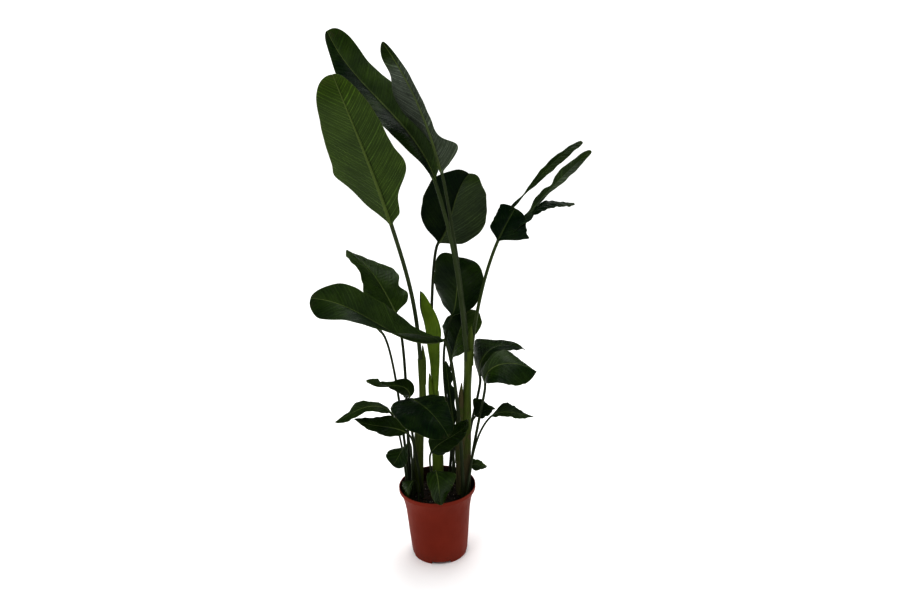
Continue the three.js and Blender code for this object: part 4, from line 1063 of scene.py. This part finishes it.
select_only(pot)
cut = pot.modifiers.new("cut", "BOOLEAN")
cut.operation = "DIFFERENCE"
cut.solver = "EXACT"
cut.object = cutter
bpy.ops.object.modifier_apply(modifier="cut")
bpy.data.objects.remove(cutter)
soften = pot.modifiers.new("soften", "BEVEL")
soften.width = 0.0004
soften.segments = 2
soften.limit_method = "ANGLE"
soften.angle_limit = math.radians(40)
bpy.ops.object.modifier_apply(modifier="soften")
print("pot faces:", len(pot.data.polygons))

# %% [markdown]
# The plastic is a warm brick red with a satin gloss. Moulded plastic is very even, so most of its
# look comes from light scuffs, faint dust low down and a little unevenness in the gloss.

# %% Paint the pot
POT_PLASTIC, tree, shader = new_finish("red pot plastic", 0.5, 0.1)
place = object_place(tree)
cloud = spots(tree, place, 9.0)
scuffs = spots(tree, stretched(tree, place, (60.0, 60.0, 9.0)), 2.0, 4.0, 0.7)
dust = spots(tree, place, 120.0, 4.0, 0.7)
BRICK = (0.185, 0.024, 0.010, 1)
BRIGHT_BRICK = (0.215, 0.031, 0.014, 1)
SCUFFED = (0.28, 0.06, 0.034, 1)
DUSTY = (0.085, 0.045, 0.028, 1)
red = blend_colours(tree, between(tree, cloud, 0.3, 0.7), BRICK, BRIGHT_BRICK)
red = blend_colours(tree, between(tree, scuffs, 0.62, 0.78, 0.0, 0.35), red, SCUFFED)
height = node(tree, "ShaderNodeSeparateXYZ", {"Vector": place}).outputs["Z"]
low = between(tree, height, 0.0, 0.05, 0.45, 0.0)
dusty = sums(tree, "MULTIPLY", low, between(tree, dust, 0.45, 0.7))
red = blend_colours(tree, dusty, red, DUSTY)
tree.links.new(red, shader.inputs["Base Color"])
tree.links.new(between(tree, scuffs, 0.4, 0.8, 0.44, 0.65), shader.inputs["Roughness"])
tree.links.new(relief(tree, dust, 0.0002, 0.4, relief(tree, cloud, 0.002, 0.3)), shader.inputs["Normal"])
pot.data.materials.append(POT_PLASTIC)
print("pot painted:", POT_PLASTIC.name)

# %% [markdown]
# Above the soil the inner wall is painted dark: painted shade inside the pot, and stains of watering
# and splashed soil. The faces of the wall that look inwards are found by their normals and get this
# shaded, stained copy of the plastic.

# %% Paint shade and stain on the inner wall
POT_INSIDE_SHADE, tree, shader = new_finish("shaded soil-stained pot wall", 0.7, 0.1)
place = object_place(tree)
stain = spots(tree, place, 45.0, 5.0, 0.7)
# Dark colours of painted shade inside the pot, mottled like soil stain.
SHADE_AND_STAIN_DARK = (0.010, 0.006, 0.004, 1)
SHADE_AND_STAIN_RED = (0.045, 0.014, 0.008, 1)
shaded_stained_wall = blend_colours(tree, between(tree, stain, 0.35, 0.7), SHADE_AND_STAIN_DARK, SHADE_AND_STAIN_RED)
tree.links.new(shaded_stained_wall, shader.inputs["Base Color"])
tree.links.new(relief(tree, stain, 0.0006, 0.6), shader.inputs["Normal"])
pot.data.materials.append(POT_INSIDE_SHADE)
for face in pot.data.polygons:
    outwards = Vector((face.center.x, face.center.y, 0)).normalized()
    if face.normal.dot(outwards) < -0.5 and FLOOR_TOP < face.center.z / MM < POT_HEIGHT - 3:
        face.material_index = 1
hand_over(pot, "pot_plastic", "pot")

# %% [markdown]
# ## The soil
#
# The soil fills the pot to a lumpy top. Its body is a skin over rings, as the leaves are; the top is
# raised and lowered by layered noise. On it lie loose crumbs: bark chips and a few pale grains of
# pumice. They are small rounded lumps, each with only a few dozen faces.

# %% Fill the pot with soil
SOIL_TOP = 196
SOIL_AROUND = 160
TOP_RINGS = 58
LUMP_LAYERS = ((34, 1.7, 3.2), (9, 5.1, 2.6), (3.5, 9.4, 1.3))


def wall_radius(height):
    return float(np.interp(height, [z for _, z in WALL_LINE], [radius for radius, _ in WALL_LINE]))


def soil_height(x, y):
    """Height of the soil's surface above its mean, in mm, from broad lumps to crumbs."""
    return sum(noise.noise(Vector((x / size, y / size, layer))) * height
               for size, layer, height in LUMP_LAYERS)


def soil_rings():
    line = [(4, 11.3), (wall_radius(FLOOR_TOP) - WALL - 8, 11.3)]
    line += [(wall_radius(z) - WALL - 0.35, z) for z in (18, 80, 155, 178, 184)]
    edge = wall_radius(SOIL_TOP - 8) - WALL - 0.8
    line += [(edge, SOIL_TOP - 7), (edge - 2, SOIL_TOP - 5)]
    inward = np.linspace(edge - 3.5, 1.5, TOP_RINGS)
    line += [(radius, SOIL_TOP - 3.5 * math.exp(-((edge - radius) / 5))) for radius in inward]
    angles = np.linspace(0, 2 * np.pi, SOIL_AROUND, endpoint=False)
    rings = np.array([[(r * math.cos(a), r * math.sin(a), z) for a in angles] for r, z in line])
    for ring in rings[-TOP_RINGS:]:
        for point in ring:
            inside = edge - math.hypot(point[0], point[1])
            point[2] += soil_height(point[0], point[1]) * min(1, inside / 6)
    return rings


rings = soil_rings()
one_slot = np.zeros(rings.shape[:2], int)[1:]
soil = skin_over("potting_soil_body", rings, {}, rings[..., :2] * MAP_SCALE, one_slot)
print("soil rings:", len(rings))

# %% Scatter chips and pumice on the soil
CHIPS = 150
GRAINS = 42
SCATTER_RADIUS = 92
rng = np.random.default_rng(7)


def lay_crumb(width, flat, finish, sink):
    """One rounded, uneven lump on the soil at a random place clear of the pot's wall."""
    reach = SCATTER_RADIUS * math.sqrt(rng.random())
    angle = 2 * math.pi * rng.random()
    x, y = reach * math.cos(angle), reach * math.sin(angle)
    bpy.ops.mesh.primitive_ico_sphere_add(subdivisions=2, radius=width / 2 * MM)
    crumb = bpy.context.object
    offset = Vector(rng.random(3) * 50)
    for vertex in crumb.data.vertices:
        push = 1 + 0.45 * noise.noise(vertex.co / (width * MM) * 2.2 + offset)
        spread = Vector((0.7 + 0.6 * flat, 0.8, 1 - 0.5 * flat))
        vertex.co = vertex.co * spread * push
    spin = Matrix.Rotation(angle * 3, 4, "Z") @ Matrix.Rotation(rng.normal() * 0.35, 4, "X")
    rest = SOIL_TOP + soil_height(x, y) + width * sink
    crumb.data.transform(Matrix.Translation(Vector((x, y, rest)) * MM) @ spin)
    crumb.data.materials.append(finish)
    return crumb


def soil_finish(name, dark, light, scale, roughness):
    finish, tree, shader = new_finish(name, roughness, 0.25)
    place = object_place(tree)
    coarse = spots(tree, place, scale, 5.0, 0.7)
    fine = spots(tree, place, scale * 5, 4.0, 0.7)
    brown = blend_colours(tree, between(tree, coarse, 0.35, 0.7), dark, light)
    tree.links.new(brown, shader.inputs["Base Color"])
    tree.links.new(between(tree, coarse, 0.3, 0.7, roughness, roughness - 0.2), shader.inputs["Roughness"])
    tree.links.new(relief(tree, fine, 0.0012, 0.8), shader.inputs["Normal"])
    return finish


EARTH = soil_finish("potting soil", (0.008, 0.005, 0.003, 1), (0.035, 0.021, 0.012, 1), 60.0, 0.95)
BARK = soil_finish("bark chip", (0.02, 0.010, 0.005, 1), (0.09, 0.045, 0.02, 1), 90.0, 0.9)
PUMICE = soil_finish("pumice grain", (0.30, 0.28, 0.24, 1), (0.5, 0.48, 0.42, 1), 160.0, 0.9)
soil.data.materials.append(EARTH)
crumbs = [lay_crumb(4 + 7 * rng.random() ** 2, rng.random(), BARK, 0.12) for _ in range(CHIPS)]
crumbs += [lay_crumb(2 + 2 * rng.random(), 0.1, PUMICE, 0.25) for _ in range(GRAINS)]
soil = join([soil, *crumbs], "potting_soil")
hand_over(soil, "potting_soil", "soil")

# %% [markdown]
# ## Shoots
#
# A shoot is no trunk: it is the bases of old leaves, wrapped round one another. Each shoot is made
# of columns: the stem and the sheaths that clasp it, which end in slanting points. A column is a
# skin over oval rings along a smooth line, with fine lengthwise ribs in it.

# %% Shape a column
COLUMN_STEP = 4


def smooth_line(points, count):
    """Catmull-Rom curve through points, at evenly spaced steps between them."""
    points = np.array(points, float)
    ends = np.vstack([2 * points[0] - points[1], points, 2 * points[-1] - points[-2]])
    out = []
    for u in np.linspace(0, len(points) - 1, count):
        i = min(int(u), len(points) - 2)
        f = u - i
        a, b, c, d = ends[i:i + 4]
        out.append(0.5 * (2 * b + (c - a) * f + (2 * a - 5 * b + 4 * c - d) * f * f
                          + (3 * b - a - 3 * c + d) * f ** 3))
    return np.array(out)


def column_rings(line, around, ribs, rib_depth, roll=0.0, seam=(0, 0)):
    """Rings of a column; with a roll, each ring winds inwards from a seam that turns as it climbs."""
    full = [(x, y, z, *(sizes * 2)[:2]) for x, y, z, *sizes in line]
    length = sum(math.dist(a[:3], b[:3]) for a, b in zip(full, full[1:]))
    path = smooth_line(full, int(length / COLUMN_STEP) + 6)
    widths = np.maximum(path[:, 3:], 0.8)
    rings, runs = [], []
    for i, point in enumerate(path[:, :3]):
        t = i / (len(path) - 1)
        tangent = path[min(i + 1, len(path) - 1), :3] - path[max(i - 1, 0), :3]
        tangent /= np.linalg.norm(tangent)
        side = np.array([1.0, 0, 0]) - tangent * tangent[0]
        side /= np.linalg.norm(side)
        depth = np.cross(tangent, side)
        first = math.radians(seam[0] + (seam[1] - seam[0]) * t)
        angles = first + np.linspace(0, 2 * np.pi, around, endpoint=False)
        share = 1 - roll * np.linspace(0, 1, around) + rib_depth * np.sin(ribs * angles + 2 * t)
        rings.append(point + (widths[i, 0] * share * np.cos(angles))[:, None] * side
                     + (widths[i, 1] * share * np.sin(angles))[:, None] * depth)
        runs.append(t * length)
    return np.array(rings), np.array(runs)


def column(name, line, dry, fresh, around=64, ribs=18, rib_depth=0.012, **roll):
    rings, runs = column_rings(line, around, ribs, rib_depth, **roll)
    shape = rings.shape[:2]
    edge = np.broadcast_to(np.linspace(0, 1, around), shape)
    run_shares = np.broadcast_to((runs / runs[-1])[:, None], shape)
    marks = {"dry": dry(run_shares), "fresh": np.full(shape, fresh), "edge": edge, "along": run_shares,
             "pale": np.full(shape, 0.55)}
    places = np.stack([np.broadcast_to(runs[:, None] * MAP_SCALE, shape), edge], -1)
    return skin_over(name, rings, marks, places, np.zeros(shape, int)[1:])


print("columns have a ring about every", COLUMN_STEP, "mm")

# %% Raise the shoots
def always(value):
    return lambda t: np.full_like(t, value)


def falling(value, last, start, end):
    """From a value to the last one between two shares of the column's length."""
    return lambda t: np.interp(t, (start, end), (value, last))


SHOOTS = {
    "stem_right": [
        ([(76, 8, 162, 19, 17), (78, 8, 207, 19, 17), (80, 10, 264, 20, 18), (83, 12, 320, 20, 18),
          (88, 15, 375, 19, 18), (97, 19, 441, 16.5, 18), (101, 22, 484, 14, 19), (104, 26, 537, 12.5, 21),
          (108, 28, 589, 12, 23), (111, 29, 641, 13, 26), (112, 29, 672, 13, 27)],
         falling(0.75, 0.1, 0.35, 0.7), 0.2),
        ([(71, 12, 300, 12), (74, 12, 375, 13), (79, 14, 441, 13), (83, 14, 484, 10), (85, 15, 530, 7),
          (88, 16, 566, 1.5)], always(0.7), 0.0),
        ([(90, 8, 190, 14), (94, 8, 320, 15), (98, 9, 375, 13), (104, 12, 430, 8), (109, 15, 462, 1.5)],
         falling(0.8, 0.1, 0.35, 0.85), 0.1),
        ([(114, 30, 620, 12), (117, 29, 680, 11), (120, 28, 715, 8), (123, 27, 745, 1.5)], always(0.1), 0.2),
    ],
    "stem_centre": [
        ([(1, 29, 162, 17), (2, 29, 231, 17.5), (5, 29, 302, 17.6), (4, 30, 372, 17, 19),
          (4, 34, 440, 15, 22), (6, 37, 490, 12, 22), (6, 38, 530, 11, 21)], always(0.1), 0.8),
        ([(-6, 20, 380, 10), (-5, 20, 480, 10), (-7, 20, 560, 7), (-9, 20, 600, 1.5)], always(0.1), 0.9),
    ],
    "stem_left": [
        ([(-62, 34, 162, 15), (-60, 32, 233, 16), (-52, 30, 373, 15), (-42, 28, 442, 13),
          (-34, 20, 509, 11), (-32, 12, 560, 10), (-32, 8, 610, 10), (-33, 6, 655, 9)], always(0.1), 0.2),
        ([(-67, 27, 170, 10), (-66, 26, 267, 10), (-60, 22, 340, 9), (-54, 20, 400, 7),
          (-48, 20, 450, 1.5)], always(0.45), 0.0),
        ([(-29, 12, 570, 9), (-26, 12, 640, 9), (-25, 11, 670, 5), (-25, 11, 695, 1.5)], always(0.1), 0.3),
    ],
}

for name, columns in SHOOTS.items():
    parts = [column(f"{name}_{number}", *values) for number, values in enumerate(columns)]
    shoot = join(parts, name.replace("stem_", "fine_shoot_"))
    shoot.data.materials.append(SHOOT)
    hand_over(shoot, "shoot", name)

# %% [markdown]
# ## The new leaf
#
# A new leaf comes up rolled like a paper cone. It is the palest, most yellow part of the plant, with
# a dark edge where its outer margin lies. The column's seam turns as it climbs, so the roll's edge
# runs slanting across the front, as on the real one.

# %% Roll the new leaf
ROLLED_LINE = [
    (6, 27, 500, 7), (6, 28, 535, 10, 9), (8, 30, 586, 12.5, 10), (9, 33, 638, 16, 11),
    (7, 34, 690, 20.5, 13), (8, 34, 726, 25.5, 14), (1, 34, 767, 24, 13), (-12, 34, 808, 19, 10),
    (-20, 34, 843, 9, 6), (-25, 34, 858, 1.2),
]
NEW_LEAF, tree, shader = new_finish("new leaf", 0.4, 0.15)
fibres = spots(tree, stretched(tree, map_place(tree), (1.2, 60.0, 1.0)), 1.0, 3.0, 0.6)
cloud = spots(tree, object_place(tree), 25.0)
LIME = (0.090, 0.150, 0.006, 1)
BRIGHT_LIME = (0.130, 0.200, 0.010, 1)
LEAF_GREEN = (0.055, 0.098, 0.004, 1)
DARK_GREEN = (0.016, 0.036, 0.004, 1)
light = blend_colours(tree, between(tree, cloud, 0.3, 0.7), LIME, BRIGHT_LIME)
light = blend_colours(tree, between(tree, fibres, 0.4, 0.7, 0.0, 0.6), light, LEAF_GREEN)
light = blend_colours(tree, between(tree, mark_of(tree, "edge"), 0.86, 0.93), light, DARK_GREEN)
green_tip = between(tree, mark_of(tree, "along"), 0.93, 1.0)
light = blend_colours(tree, green_tip, light, DARK_GREEN)
tree.links.new(light, shader.inputs["Base Color"])
tree.links.new(relief(tree, fibres, 0.0005, 0.6), shader.inputs["Normal"])
new_leaf = column("fine_leaf_new_rolled", ROLLED_LINE, always(0.0), 1.0, 96, 30, 0.006,
                  roll=0.16, seam=(-200, -110))
new_leaf.data.materials.append(NEW_LEAF)
hand_over(new_leaf, "new_leaf", "leaf_new_rolled")

# %% [markdown]
# ## The sizes
#
# The dressed plant must be as large as the frame. Both boxes are printed.

# %% Print the sizes
fine_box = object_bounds()
sizes = {"cad": [list(corner) for corner in cad_box], "visual": [list(corner) for corner in fine_box]}
for name, box in sizes.items():
    print(name, "box in m:", [round(value, 3) for corner in box for value in corner])
